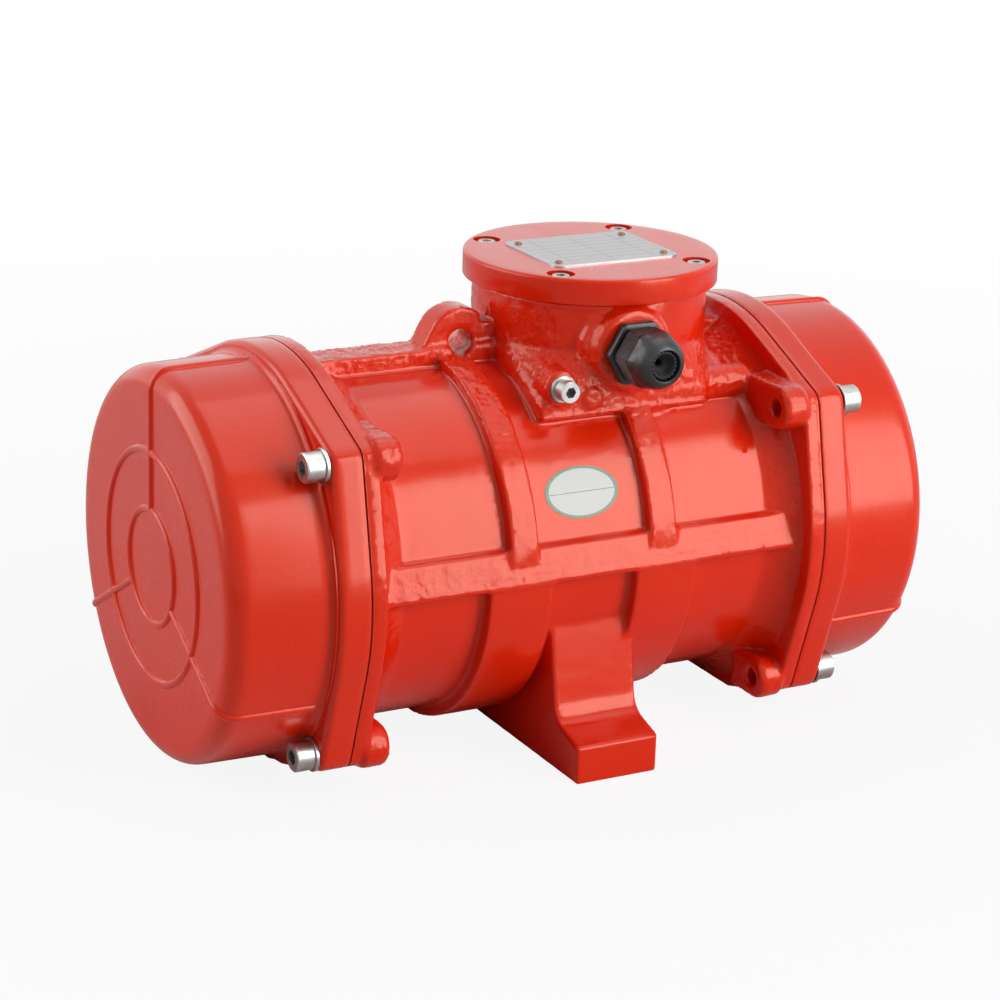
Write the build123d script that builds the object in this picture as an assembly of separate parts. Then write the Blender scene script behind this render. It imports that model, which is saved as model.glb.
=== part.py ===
from build123d import *
from math import acos, copysign, cos, degrees, pi, radians, sin, sqrt
import os

# Vibration motor. The shaft axis runs along X, the feet stand on Z = 0, +X is the terminal box end.
# Everything is modelled about the shaft axis and lifted by axis_height when it is written.

# Driving sizes of the whole motor, in millimetres
axis_height = 88.0
overall_length = 340.0
barrel_radius = 77.0
flange_radius = 92.0
joint_x = 110.0

# Covers
cover_radius = 86.0
cover_draft = 0.6
cover_wall = 6.0
cover_edge_radius = 9.0
cover_flange_thickness = 13.7
cover_flange_rounding = 3.0
cover_root_radius = 3.0
cover_step_height = 0.8
bead_width = 3.4
bead_height = 1.3
inner_ring_radius = 25.0
outer_ring_radius = 50.5

# Ears and cover screws
bolt_circle_radius = 95.0
upper_ear_angle = 50.3
lower_ear_angle = 44.4
ear_radius = 7.8
ear_boss_radius = 9.5
ear_boss_rounding = 3.0
ear_root_y = 49.0
ear_length = 10.5
flare_length = 14.5
flare_height = 9.0
flange_thickness = 7.0
flange_ground_clearance = 1.5
cover_screw_size = 8.0
cover_screw_length = 25.0
washer_thickness = 1.6
washer_radius = 7.4
gasket_thickness = 0.8
gasket_inset = 0.9

# Ribs and foot
hoop_rib_x = 34.0
hoop_rib_width = 13.0
hoop_rib_height = 5.0
saddle_rib_x = 35.5
saddle_rib_width = 30.0
saddle_rib_height = 5.5
side_rib_height = 6.5
side_rib_top = 14.0
side_rib_bottom = -1.5
top_rib_width = 18.0
top_rib_height = 7.5
foot_length = 40.0
foot_x = 4.0
foot_half_width = 100.0
foot_thickness = 18.0
foot_fillet = 11.0
foot_bolt_spacing = 150.0
foot_bolt_depth = 18.0
foot_tapped_radius = 6.0
foot_toe_length = 20.0
foot_toe_rise = 4.0
foot_root_y = 72.6
foot_root_z = -21.7

# Lifting eye
eye_x = -29.0
eye_rise = 9.0
eye_radius = 15.3
eye_hole_radius = 5.9
eye_thickness = 14.0

# Terminal box
turret_x = 38.5
turret_radius = 52.0
turret_wall = 6.5
turret_rise = 31.0
turret_floor_rise = 3.0
block_x = 30.5
block_length = 99.0
block_half_width = 54.0
block_corner = 12.0
block_base = 45.0
block_shoulder = 2.0
web_radius = 7.5
web_y = 43.0
web_drop = 11.0
lid_radius = 56.6
lid_height = 12.0
lid_edge_radius = 1.2
lid_gasket_thickness = 0.8
lid_screw_circle_radius = 48.2
lid_screw_size = 5.0
lid_screw_length = 16.0
lid_counterbore_radius = 6.2
lid_counterbore_depth = 5.6
lid_boss_radius = 6.0
nameplate_length = 63.0
nameplate_width = 50.0
nameplate_thickness = 0.8
nameplate_corner = 5.0
rivet_spacing_x = 53.0
rivet_spacing_y = 37.0
rivet_radius = 1.7

# Cable gland
gland_x = 31.0
gland_rise = 11.0
gland_boss_radius = 17.0
gland_boss_root_radius = 20.0
gland_boss_y = -54.5
gland_thread_radius = 10.0
gland_thread_length = 9.0
gland_hex = 24.0
gland_flange_thickness = 4.0
gland_nut_gap = 1.0
gland_nut_length = 12.0
gland_dome_length = 9.0
gland_hole_radius = 6.8
seal_bore_radius = 3.0

# Ground screw
ground_x = -4.0
ground_rise = -2.0
ground_screw_size = 6.0
ground_screw_length = 12.0
ground_pad_radius = 7.5
earth_mark_x = 11.0
earth_mark_rise = -7.8
earth_mark_radius = 4.2
earth_mark_height = 0.9

# Bearings
bearing_bore_radius = 17.5
bearing_outer_radius = 40.0
bearing_width = 21.0
bearing_x = 100.0
race_thickness = 6.0
roller_bridge = 2.5
roller_length = 13.0
roller_gap = 0.3
cage_thickness = 2.4
cage_width = 17.0

# Bearing shields
spigot_radius = 70.0
spigot_length = 12.5
shield_flange_radius = 78.0
shield_flange_thickness = 5.5
shield_hub_wall = 9.0
shield_lip = 3.5
shield_screw_count = 6
shield_screw_circle_radius = 74.4
shield_screw_size = 5.0
shield_screw_length = 14.0
cap_thickness = 5.0
cap_screw_count = 3
cap_screw_inset = 4.5
cap_screw_size = 4.0
cap_screw_length = 10.0

# Shaft and eccentric weights
rotor_seat_radius = 22.0
rotor_seat_half_length = 56.0
shoulder_radius = 20.5
weight_seat_radius = 15.0
shaft_half_length = 157.0
spacer_radius = 19.0
weight_radius = 70.0
weight_thickness = 13.0
weight_hub_radius = 25.0
weight_sector_angle = 160.0
weight_gap = 1.2
cap_screw_gap = 0.8
circlip_gap = 0.4
lug_rise = 4.0
weight_slit = 3.0
clamp_screw_size = 8.0
circlip_thickness = 1.5
key_width = 8.0
key_height = 7.0

# Stator and rotor
stator_radius = 65.0
stator_half_length = 45.0
stator_bore_radius = 36.0
slot_count = 24
slot_width = 4.6
slot_bottom_radius = 52.0
slot_mouth_radius = 38.5
slot_opening = 2.2
winding_overhang = 15.0
winding_clearance = 0.3
air_gap = 0.5
rotor_bar_count = 18
rotor_bar_radius = 2.5
end_ring_thickness = 9.0

# Clearances
seat_clearance = 0.05
running_clearance = 0.06
screw_clearance = 0.5

# Sizes that follow from the driving ones
end_x = overall_length / 2
flange_back_x = joint_x - flange_thickness
ear_back_x = flange_back_x - ear_length
cover_joint_x = joint_x + gasket_thickness
cover_face_x = cover_joint_x + cover_flange_thickness
ground_z_level = -axis_height
flange_flat_z = ground_z_level + flange_ground_clearance
bore_radius = stator_radius + seat_clearance
eye_z = barrel_radius + eye_rise
turret_top = barrel_radius + turret_rise
turret_floor = barrel_radius + turret_floor_rise
gland_z = barrel_radius + gland_rise
ground_z = barrel_radius + ground_rise
earth_mark_z = barrel_radius + earth_mark_rise
web_z = barrel_radius - web_drop
lid_bottom = turret_top + lid_gasket_thickness
lid_top = turret_top + lid_height
bearing_inner_x = bearing_x - bearing_width / 2
bearing_outer_x = bearing_x + bearing_width / 2
inner_race_radius = bearing_bore_radius + race_thickness
outer_race_bore = bearing_outer_radius - race_thickness
roller_circle_radius = (inner_race_radius + outer_race_bore) / 2
roller_radius = (outer_race_bore - inner_race_radius) / 2 - roller_gap
roller_count = int(pi * roller_circle_radius / (roller_radius + roller_bridge))
shield_outer_x = joint_x + shield_flange_thickness
shield_hub_radius = bearing_outer_radius + shield_hub_wall
cap_screw_circle_radius = bearing_outer_radius + cap_screw_inset
spacer_end_x = shield_outer_x + cap_thickness + cap_screw_size + cap_screw_gap
inner_weight_x = spacer_end_x
outer_weight_x = inner_weight_x + weight_thickness + weight_gap
circlip_x = outer_weight_x + weight_thickness + circlip_gap
rotor_radius = stator_bore_radius - air_gap
cavity_radius = cover_radius - cover_wall
lid_inner_radius = turret_radius - turret_wall
ear_angles = [upper_ear_angle, 180 - lower_ear_angle, 180 + lower_ear_angle, 360 - upper_ear_angle]
lid_screw_angles = [45, 135, 225, 315]


def facing_x(x):
    """Drawing plane square to the shaft at x, with its own x along +Y and y along +Z."""
    return Plane(origin=(x, 0, 0), x_dir=(0, 1, 0), z_dir=(1, 0, 0))


def disc(x, length, radius, inner=0.0):
    """Round plate about the shaft axis from x towards +X."""
    sketch = Circle(radius)
    if inner > 0:
        sketch = sketch - Circle(inner)
    return extrude(facing_x(x) * sketch, length)


def polar_yz(radius, angle):
    """Point at an angle from the top, turning towards the front (-Y)."""
    return (-radius * sin(radians(angle)), radius * cos(radians(angle)))


def bolt_points(radius, angles):
    return [polar_yz(radius, angle) for angle in angles]


def mirrored(shape):
    return mirror(shape, about=Plane.YZ)


def revolved(points):
    """Solid of revolution about the shaft axis from a list of (x, radius) points."""
    return revolve(make_face(Plane.XZ * Polyline(points, close=True)), Axis.X)


def socket_screw(size, length):
    """Socket head screw with its seat at the origin and its head towards +Z."""
    head = Cylinder(size * 0.8, size, align=(Align.CENTER, Align.CENTER, Align.MIN))
    head = chamfer(head.edges().sort_by(Axis.Z)[-1], size * 0.08)
    shank = Cylinder(size / 2, length, align=(Align.CENTER, Align.CENTER, Align.MAX))
    socket = extrude(Plane.XY.offset(size * 0.45) * RegularPolygon(size * 0.42, 6), size)
    return head + shank - socket


def at_x(x, y, z, shape):
    """Places a shape so that its +Z points along +X."""
    return Pos(x, y, z) * Rot(0, 90, 0) * shape


def along_front(x, y, z, shape):
    """Places a shape so that its +Z points to the front (-Y)."""
    return Pos(x, y, z) * Rot(90, 0, 0) * shape


def flange_outline(inset=0.0):
    """Circle with four corner ears, joined by tangents, and a flat along the bottom."""
    big = flange_radius - inset
    small = ear_radius - inset
    spread = degrees(acos((big - small) / bolt_circle_radius))
    with BuildLine() as line:
        for angle, following in zip(ear_angles, ear_angles[1:] + [ear_angles[0] + 360]):
            centre = Vector(*polar_yz(bolt_circle_radius, angle))
            ear_start = centre + Vector(*polar_yz(small, angle - spread))
            ear_end = centre + Vector(*polar_yz(small, angle + spread))
            end = polar_yz(big, angle + spread)
            Line(polar_yz(big, angle - spread), ear_start)
            ThreePointArc(ear_start, centre + Vector(*polar_yz(small, angle)), ear_end)
            Line(ear_end, end)
            ThreePointArc(end, polar_yz(big, (angle + following) / 2), polar_yz(big, following - spread))
    keep = Pos(0, flange_flat_z + inset) * Rectangle(300, 300, align=(Align.CENTER, Align.MIN))
    return make_face(line.line) & keep


def cup_profile(extra=0.0):
    """Closed (x, radius) outline of a cover's cup, from its flange to its rounded end."""
    root = cover_radius + cover_draft + extra
    top = cover_radius + extra
    edge = cover_edge_radius + extra
    end = end_x + extra
    with BuildLine() as line:
        first = Line((cover_face_x - 5, 0), (cover_face_x - 5, root))
        side = Line(first @ 1, (end - edge, top))
        corner = RadiusArc(side @ 1, (end, top - edge), edge)
        face = Line(corner @ 1, (end, 0))
        Line(face @ 1, first @ 0)
    return make_face(Plane.XZ * line.line)


def cover_ring(radius):
    """Raised ring with a rounded back on the cover's end face."""
    half = bead_width / 2
    section = Polyline([(end_x - 1, radius - half), (end_x, radius - half),
                        (end_x + bead_height * 0.75, radius - half * 0.65),
                        (end_x + bead_height, radius - half * 0.25), (end_x + bead_height, radius + half * 0.25),
                        (end_x + bead_height * 0.75, radius + half * 0.65), (end_x, radius + half),
                        (end_x - 1, radius + half)], close=True)
    return revolve(make_face(Plane.XZ * section), Axis.X)


def cover_bead(angle):
    """Raised bead from the inner ring out over the rounded edge and along the cup's side."""
    skin = cup_profile(bead_height)
    band = extrude(skin, bead_width / 2, both=True)
    reach = Pos(cover_face_x + 0.2, 0, inner_ring_radius) * Box(
        end_x, bead_width * 2, cover_radius, align=(Align.MIN, Align.CENTER, Align.MIN))
    bead = band & reach
    edges = bead.edges().filter_by(lambda e: abs(e.center().Y) > bead_width * 0.4)
    outer = edges.filter_by(
        lambda e: e.center().X > end_x + bead_height * 0.8 or e.center().Z > cover_radius + bead_height * 0.8)
    bead = chamfer(outer, bead_height * 0.45) if outer else bead
    return Rot(angle, 0, 0) * bead


def cover():
    """Right-hand cover: cup, thick flange with four ears, rings and three beads."""
    flange = extrude(facing_x(cover_joint_x) * flange_outline(), cover_flange_thickness)
    rim = flange.edges().filter_by(lambda e: abs(e.center().X - cover_face_x) < 0.01)
    flange = fillet(rim, cover_flange_rounding)
    cup = revolve(cup_profile(), Axis.X)
    root = cover_radius + cover_draft
    step = root + cover_root_radius
    with BuildLine() as line:
        base = Line((cover_face_x - 2, root - 3), (cover_face_x - 2, step))
        rise = Line(base @ 1, (cover_face_x + cover_step_height, step))
        sweep_in = RadiusArc(rise @ 1, (cover_face_x + cover_step_height + cover_root_radius, root),
                             -cover_root_radius)
        back = Line(sweep_in @ 1, (cover_face_x + cover_step_height + cover_root_radius, root - 3))
        Line(back @ 1, base @ 0)
    above_flat = Pos(0, 0, flange_flat_z) * Box(1000, 400, 400, align=(Align.CENTER, Align.CENTER, Align.MIN))
    collar = revolve(make_face(Plane.XZ * line.line), Axis.X) & above_flat
    shell = flange + cup + collar
    for radius in (inner_ring_radius, outer_ring_radius):
        shell += cover_ring(radius)
    for angle in (0, 120, 240):
        shell += cover_bead(angle)
    hollow = disc(cover_joint_x - 1, end_x - cover_wall - cover_joint_x + 1, cavity_radius)
    far_edge = hollow.edges().sort_by(Axis.X)[-1]
    shell -= fillet(far_edge, cover_wall)
    for y, z in bolt_points(bolt_circle_radius, ear_angles):
        shell -= at_x(cover_joint_x - 1, y, z, Cylinder(
            cover_screw_size / 2 + screw_clearance, 40, align=(Align.CENTER, Align.CENTER, Align.MIN)))
        shell -= at_x(cover_face_x, y, z, Cylinder(
            washer_radius + screw_clearance, 20, align=(Align.CENTER, Align.CENTER, Align.MIN)))
    return shell


def cover_gasket():
    ring = flange_outline(gasket_inset) - Circle(cavity_radius + gasket_inset)
    for point in bolt_points(bolt_circle_radius, ear_angles):
        ring -= Pos(*point) * Circle(cover_screw_size / 2 + screw_clearance)
    return extrude(facing_x(joint_x) * ring, gasket_thickness)


def cover_screws():
    seat = cover_face_x + washer_thickness
    screw = socket_screw(cover_screw_size, cover_screw_length)
    return [at_x(seat, y, z, screw) for y, z in bolt_points(bolt_circle_radius, ear_angles)]


def cover_washers():
    ring = extrude(Circle(washer_radius) - Circle(cover_screw_size / 2 + 0.2), washer_thickness)
    return [at_x(cover_face_x, y, z, ring) for y, z in bolt_points(bolt_circle_radius, ear_angles)]


def barrel():
    """Barrel with flared ends, the two end flanges and their ears."""
    flare_x = flange_back_x - flare_length
    flare_radius = barrel_radius + flare_height
    core_x = joint_x - 2
    with BuildLine() as line:
        left = Line((-core_x, 0), (-core_x, flare_radius))
        left_land = Line(left @ 1, (-flange_back_x, flare_radius))
        left_arc = RadiusArc(left_land @ 1, (-flare_x, barrel_radius), -2 * flare_length)
        top = Line(left_arc @ 1, (flare_x, barrel_radius))
        right_arc = RadiusArc(top @ 1, (flange_back_x, flare_radius), -2 * flare_length)
        right_land = Line(right_arc @ 1, (core_x, flare_radius))
        right = Line(right_land @ 1, (core_x, 0))
        Line(right @ 1, left @ 0)
    body = revolve(make_face(Plane.XZ * line.line), Axis.X)
    plate = extrude(facing_x(flange_back_x) * flange_outline(), flange_thickness)
    body = body + [plate, mirrored(plate)]
    for y, z in bolt_points(bolt_circle_radius, ear_angles):
        root_y = copysign(ear_root_y, y)
        slab = Pos(y, z) * Circle(ear_boss_radius)
        slab += Pos((y + root_y) / 2, z) * Rectangle(abs(y - root_y), 2 * ear_boss_radius)
        ear = extrude(facing_x(ear_back_x) * slab, ear_length + 1)
        back = ear.edges().filter_by(lambda e: abs(e.center().X - ear_back_x) < 0.01)
        ear = fillet(back, ear_boss_rounding)
        body = body + ear
        body = body + mirrored(ear)
    return body


def hoop_ribs():
    """Two ribs over the barrel above the side ribs, and two broad saddle ribs under it."""
    ribs = None
    for sign in (-1, 1):
        hoop = disc(sign * hoop_rib_x - hoop_rib_width / 2, hoop_rib_width, barrel_radius + hoop_rib_height)
        upper = Pos(sign * hoop_rib_x, 0, 0) * Box(60, 300, 150, align=(Align.CENTER, Align.CENTER, Align.MIN))
        saddle = disc(sign * saddle_rib_x - saddle_rib_width / 2, saddle_rib_width,
                      barrel_radius + saddle_rib_height)
        lower = Pos(sign * saddle_rib_x, 0, 5) * Box(60, 300, 150, align=(Align.CENTER, Align.CENTER, Align.MAX))
        pair = (hoop & upper) + (saddle & lower)
        ribs = pair if ribs is None else ribs + pair
    return ribs


def side_ribs():
    """Longitudinal rib along each side of the barrel, with a sloping outer face."""
    outer = barrel_radius + side_rib_height
    points = [(-60, side_rib_top + 2), (-outer + 4, side_rib_top), (-outer, side_rib_bottom + 1.5),
              (-outer, side_rib_bottom), (-60, side_rib_bottom)]
    rib = extrude(facing_x(-flange_back_x) * make_face(Polyline(points, close=True)), 2 * flange_back_x)
    return rib + mirror(rib, about=Plane.XZ)


def top_rib():
    height = barrel_radius + top_rib_height
    return Pos(0, 0, barrel_radius - 20) * Box(
        2 * flange_back_x, top_rib_width, height - barrel_radius + 20,
        align=(Align.CENTER, Align.CENTER, Align.MIN))


def lifting_eye():
    """Lug beside the terminal box with a hole across the motor."""
    foot = eye_z - barrel_radius + 12
    round_part = Circle(eye_radius)
    base = make_face(Polyline(
        [(-eye_radius - 7, -9), (-eye_radius + 1.2, 6), (eye_radius, 8), (eye_radius + 6, 8),
         (eye_radius + 6, -foot), (-eye_radius - 7, -foot)], close=True))
    plane = Plane(origin=(eye_x, eye_thickness / 2, eye_z), x_dir=(1, 0, 0), z_dir=(0, -1, 0))
    return extrude(plane * (round_part + base), eye_thickness)


def terminal_box():
    """Round box on a block with sloping corners, before it is hollowed."""
    drum = Pos(turret_x, 0, barrel_radius - 25) * Cylinder(
        turret_radius, turret_top - barrel_radius + 25, align=(Align.CENTER, Align.CENTER, Align.MIN))
    height = turret_top - block_shoulder - block_base
    block = Pos(block_x, 0, block_base) * extrude(
        RectangleRounded(block_length, 2 * block_half_width, block_corner), height)
    reach = sqrt(2) * block_half_width
    cone = Pos(turret_x, 0, block_base) * Cone(
        reach + 4, turret_radius, height, align=(Align.CENTER, Align.CENTER, Align.MIN))
    return drum + (block & cone)


def block_webs():
    """Rounded webs from the terminal box's block to the upper ears beside it."""
    start = block_x + block_length / 2 - 6
    web = at_x(start, -web_y, web_z, Cylinder(
        web_radius, ear_back_x + 2 - start, align=(Align.CENTER, Align.CENTER, Align.MIN)))
    return web + mirror(web, about=Plane.XZ)


def earth_bosses():
    """Flat seat for the earth screw and the small round mark beside it."""
    seat = along_front(ground_x, -block_half_width, ground_z, Cylinder(
        ground_pad_radius, 20, align=(Align.CENTER, Align.CENTER, Align.MAX)))
    mark = along_front(earth_mark_x, -block_half_width - earth_mark_height, earth_mark_z, Cylinder(
        earth_mark_radius, 15, align=(Align.CENTER, Align.CENTER, Align.MAX)))
    return seat + mark


def gland_boss():
    depth = -gland_boss_y - 30
    boss = Cone(
        gland_boss_root_radius, gland_boss_radius, depth, align=(Align.CENTER, Align.CENTER, Align.MIN))
    boss = chamfer(boss.edges().sort_by(Axis.Z)[-1], 2)
    return Pos(gland_x, -30, gland_z) * Rot(90, 0, 0) * boss


def foot():
    """Cross beam under the barrel with a flat pad at each side."""
    top = ground_z_level + foot_thickness
    with BuildLine() as line:
        floor = Line((0, ground_z_level), (-foot_half_width, ground_z_level))
        toe = Line(floor @ 1, (-foot_half_width, top - 1.5))
        slope = Line(toe @ 1, (-foot_half_width + foot_toe_length, top + foot_toe_rise))
        riser = Line(slope @ 1, (-foot_root_y, foot_root_z))
        inner = Line(riser @ 1, (-50, -15))
        middle = Line(inner @ 1, (0, -15))
        Line(middle @ 1, floor @ 0)
    half = make_face(line.line)
    beam = extrude(facing_x(foot_x - foot_length / 2) * half, foot_length)
    notch = beam.edges().filter_by(Axis.X).filter_by(
        lambda e: abs(e.center().Y + foot_half_width - foot_toe_length) < 0.5
        and abs(e.center().Z - top - foot_toe_rise) < 0.5)
    beam = fillet(notch, foot_fillet)
    toe_edges = beam.edges().filter_by(
        lambda e: abs(e.center().Y + foot_half_width) < 0.5 and abs(e.center().Z - ground_z_level) > 1)
    beam = fillet(toe_edges, 1.5)
    return beam + mirror(beam, about=Plane.XZ)


def lid_screw_points():
    return [(turret_x + lid_screw_circle_radius * cos(radians(a)), lid_screw_circle_radius * sin(radians(a)))
            for a in lid_screw_angles]


def drill_z(x, y, z, radius, depth):
    """Cylinder for a hole that goes down from z."""
    return Pos(x, y, z) * Cylinder(radius, depth, align=(Align.CENTER, Align.CENTER, Align.MAX))


def housing():
    """Cast frame: barrel, flanges, ribs, feet, lifting eye and terminal box."""
    body = barrel() + hoop_ribs() + side_ribs() + top_rib()
    body += foot() + lifting_eye() + terminal_box() + block_webs() + gland_boss() + earth_bosses()
    counterbore = disc(joint_x - spigot_length - 6, spigot_length + 7, spigot_radius + seat_clearance)
    tools = [disc(-joint_x - 1, 2 * joint_x + 2, bore_radius), counterbore, mirrored(counterbore)]
    tools.append(Pos(eye_x, 0, eye_z) * Rot(90, 0, 0) * Cylinder(eye_hole_radius, 60))
    tools.append(drill_z(turret_x - 20, 0, turret_floor + 1, 8, 30))
    tools.append(terminal_room())
    for x, y in lid_screw_points():
        tools.append(drill_z(x, y, turret_top + 1, lid_screw_size / 2 + seat_clearance, 14))
    for y, z in bolt_points(bolt_circle_radius, ear_angles):
        hole = at_x(ear_back_x - 1, y, z, Cylinder(
            cover_screw_size / 2 + seat_clearance, 25, align=(Align.CENTER, Align.CENTER, Align.MIN)))
        tools += [hole, mirrored(hole)]
    for y, z in shield_screw_points():
        hole = at_x(joint_x + 1, y, z, Cylinder(
            shield_screw_size / 2 + seat_clearance, 12, align=(Align.CENTER, Align.CENTER, Align.MAX)))
        tools += [hole, mirrored(hole)]
    for sign in (-1, 1):
        tools.append(drill_z(foot_x, sign * foot_bolt_spacing / 2, ground_z_level + foot_bolt_depth,
                             foot_tapped_radius, foot_bolt_depth + 1))
    tools.append(Pos(gland_x, gland_boss_y - 1, gland_z) * Rot(90, 0, 0) * Cylinder(
        gland_thread_radius + seat_clearance, 30, align=(Align.CENTER, Align.CENTER, Align.MAX)))
    tools.append(Pos(ground_x, -block_half_width - 1, ground_z) * Rot(90, 0, 0) * Cylinder(
        ground_screw_size / 2 + seat_clearance, ground_screw_length + 1,
        align=(Align.CENTER, Align.CENTER, Align.MAX)))
    return body - tools


def terminal_room():
    """Space inside the terminal box, less the bosses for the lid screws."""
    room = Pos(turret_x, 0, turret_floor) * Cylinder(
        lid_inner_radius, 60, align=(Align.CENTER, Align.CENTER, Align.MIN))
    bosses = [Pos(x, y, turret_floor) * Cylinder(
        lid_boss_radius, 60, align=(Align.CENTER, Align.CENTER, Align.MIN)) for x, y in lid_screw_points()]
    return room - bosses


def lid():
    thickness = lid_top - lid_bottom
    plate = Pos(turret_x, 0, lid_bottom) * Cylinder(
        lid_radius, thickness, align=(Align.CENTER, Align.CENTER, Align.MIN))
    plate = fillet(plate.edges().sort_by(Axis.Z)[-1], lid_edge_radius)
    register = Pos(turret_x, 0, lid_bottom) * Cylinder(
        lid_screw_circle_radius - lid_boss_radius - 1, 3, align=(Align.CENTER, Align.CENTER, Align.MAX))
    plate += register
    for x, y in lid_screw_points():
        plate -= drill_z(x, y, lid_top + 1, lid_counterbore_radius, lid_counterbore_depth + 1)
        plate -= drill_z(x, y, lid_top, lid_screw_size / 2 + screw_clearance, thickness + 1)
    return plate


def lid_gasket():
    ring = Circle(turret_radius - gasket_inset) - Circle(lid_screw_circle_radius - lid_boss_radius - 0.5)
    for angle in lid_screw_angles:
        ring -= Pos(lid_screw_circle_radius * cos(radians(angle)),
                    lid_screw_circle_radius * sin(radians(angle))) * Circle(lid_screw_size / 2 + screw_clearance)
    return Pos(turret_x, 0, turret_top) * extrude(ring, lid_gasket_thickness)


def lid_screws():
    seat = lid_top - lid_counterbore_depth
    return [Pos(x, y, seat) * socket_screw(lid_screw_size, lid_screw_length) for x, y in lid_screw_points()]


def rivet_points():
    return [(turret_x + i * rivet_spacing_x / 2, j * rivet_spacing_y / 2) for i in (-1, 1) for j in (-1, 1)]


def nameplate():
    plate = RectangleRounded(nameplate_length, nameplate_width, nameplate_corner)
    for x, y in rivet_points():
        plate -= Pos(x - turret_x, y) * Circle(rivet_radius * 0.6 + seat_clearance)
    return Pos(turret_x, 0, lid_top) * extrude(plate, nameplate_thickness)


def nameplate_rivets():
    rivets = []
    for x, y in rivet_points():
        head = Pos(x, y, lid_top + nameplate_thickness) * Cylinder(
            rivet_radius, 0.9, align=(Align.CENTER, Align.CENTER, Align.MIN))
        head = fillet(head.edges().sort_by(Axis.Z)[-1], 0.7)
        stem = Pos(x, y, lid_top) * Cylinder(
            rivet_radius * 0.6, nameplate_thickness, align=(Align.CENTER, Align.CENTER, Align.MIN))
        rivets.append(head + stem)
    return rivets


def gland_body():
    thread = Cylinder(gland_thread_radius, gland_thread_length, align=(Align.CENTER, Align.CENTER, Align.MAX))
    flange = extrude(RegularPolygon(gland_hex / 2, 6, major_radius=False), gland_flange_thickness)
    flange &= Cylinder(gland_hex * 0.55, gland_flange_thickness, align=(Align.CENTER, Align.CENTER, Align.MIN))
    neck_length = gland_nut_gap + gland_nut_length
    neck = Pos(0, 0, gland_flange_thickness) * Cylinder(
        gland_thread_radius - 0.6, neck_length, align=(Align.CENTER, Align.CENTER, Align.MIN))
    bore = Cylinder(gland_hole_radius + 0.8, 80)
    return along_front(gland_x, gland_boss_y, gland_z, thread + flange + neck - bore)


def gland_nut():
    """Domed hexagon nut of the gland, with an open mouth for the cable."""
    base = gland_flange_thickness + gland_nut_gap
    hexagon = Pos(0, 0, base) * extrude(
        RegularPolygon(gland_hex / 2 - 0.3, 6, major_radius=False), gland_nut_length)
    hexagon &= Pos(0, 0, base) * Cylinder(
        gland_hex * 0.555, gland_nut_length, align=(Align.CENTER, Align.CENTER, Align.MIN))
    dome = Pos(0, 0, base) * Cylinder(
        gland_hex * 0.48, gland_nut_length + gland_dome_length, align=(Align.CENTER, Align.CENTER, Align.MIN))
    dome = fillet(dome.edges().sort_by(Axis.Z)[-1], 4.5)
    inside = Pos(0, 0, base - 1) * Cylinder(
        gland_thread_radius - 0.6 + running_clearance, gland_nut_length + 2,
        align=(Align.CENTER, Align.CENTER, Align.MIN))
    mouth = Cylinder(gland_hole_radius, 80)
    return along_front(gland_x, gland_boss_y, gland_z, hexagon + dome - inside - mouth)


def gland_seal():
    """Rubber sleeve with radial fins that closes on the cable."""
    base = gland_flange_thickness + 2
    length = gland_nut_gap + gland_nut_length + gland_dome_length - 6
    outer = gland_hole_radius - winding_clearance
    sleeve = Cylinder(outer, length, align=(Align.CENTER, Align.CENTER, Align.MIN))
    sleeve -= Cylinder(seal_bore_radius, 100)
    sleeve -= Pos(0, 0, length - 3) * Cone(
        seal_bore_radius, outer - 0.8, 3.01, align=(Align.CENTER, Align.CENTER, Align.MIN))
    return along_front(gland_x, gland_boss_y, gland_z, Pos(0, 0, base) * sleeve)


def ground_screw():
    seat = washer_thickness
    screw = Pos(0, 0, seat) * socket_screw(ground_screw_size, ground_screw_length)
    return along_front(ground_x, -block_half_width, ground_z, screw)


def ground_washer():
    ring = extrude(Circle(ground_screw_size) - Circle(ground_screw_size / 2 + 0.2), washer_thickness)
    return along_front(ground_x, -block_half_width, ground_z, ring)


def terminal_block():
    """Moulded block on the floor of the terminal box, with six raised posts."""
    base = extrude(RectangleRounded(44, 32, 3), 6)
    for x, y in terminal_points():
        base += Pos(x, y, 6) * Cylinder(4.5, 3, align=(Align.CENTER, Align.CENTER, Align.MIN))
        base -= Pos(x, y, 2) * Cylinder(2 + seat_clearance, 20, align=(Align.CENTER, Align.CENTER, Align.MIN))
    for side in (-1, 1):
        base -= Pos(side * 17.5, 0, -1) * Cylinder(2.3, 20, align=(Align.CENTER, Align.CENTER, Align.MIN))
    return Pos(turret_x + 6, 0, turret_floor) * base


def terminal_points():
    return [(i * 11, j * 9) for i in (-1, 0, 1) for j in (-1, 1)]


def terminal_studs():
    stud = Pos(0, 0, 2) * Cylinder(2, 17, align=(Align.CENTER, Align.CENTER, Align.MIN))
    return [Pos(turret_x + 6 + x, y, turret_floor) * stud for x, y in terminal_points()]


def terminal_nuts():
    nut = extrude(RegularPolygon(3.5, 6, major_radius=False) - Circle(2 + seat_clearance), 3.2)
    return [Pos(turret_x + 6 + x, y, turret_floor + 9) * nut for x, y in terminal_points()]


def terminal_block_screws():
    screw = Cylinder(3.6, 2.6, align=(Align.CENTER, Align.CENTER, Align.MIN)) + Cylinder(
        2, 6, align=(Align.CENTER, Align.CENTER, Align.MAX))
    return [Pos(turret_x + 6 + side * 17.5, 0, turret_floor + 6) * screw for side in (-1, 1)]


def shield_screw_points():
    turn = 360 / shield_screw_count
    return bolt_points(shield_screw_circle_radius, [turn * (n + 0.5) for n in range(shield_screw_count)])


def cap_screw_points():
    turn = 360 / cap_screw_count
    return bolt_points(cap_screw_circle_radius, [turn * n for n in range(cap_screw_count)])


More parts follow.
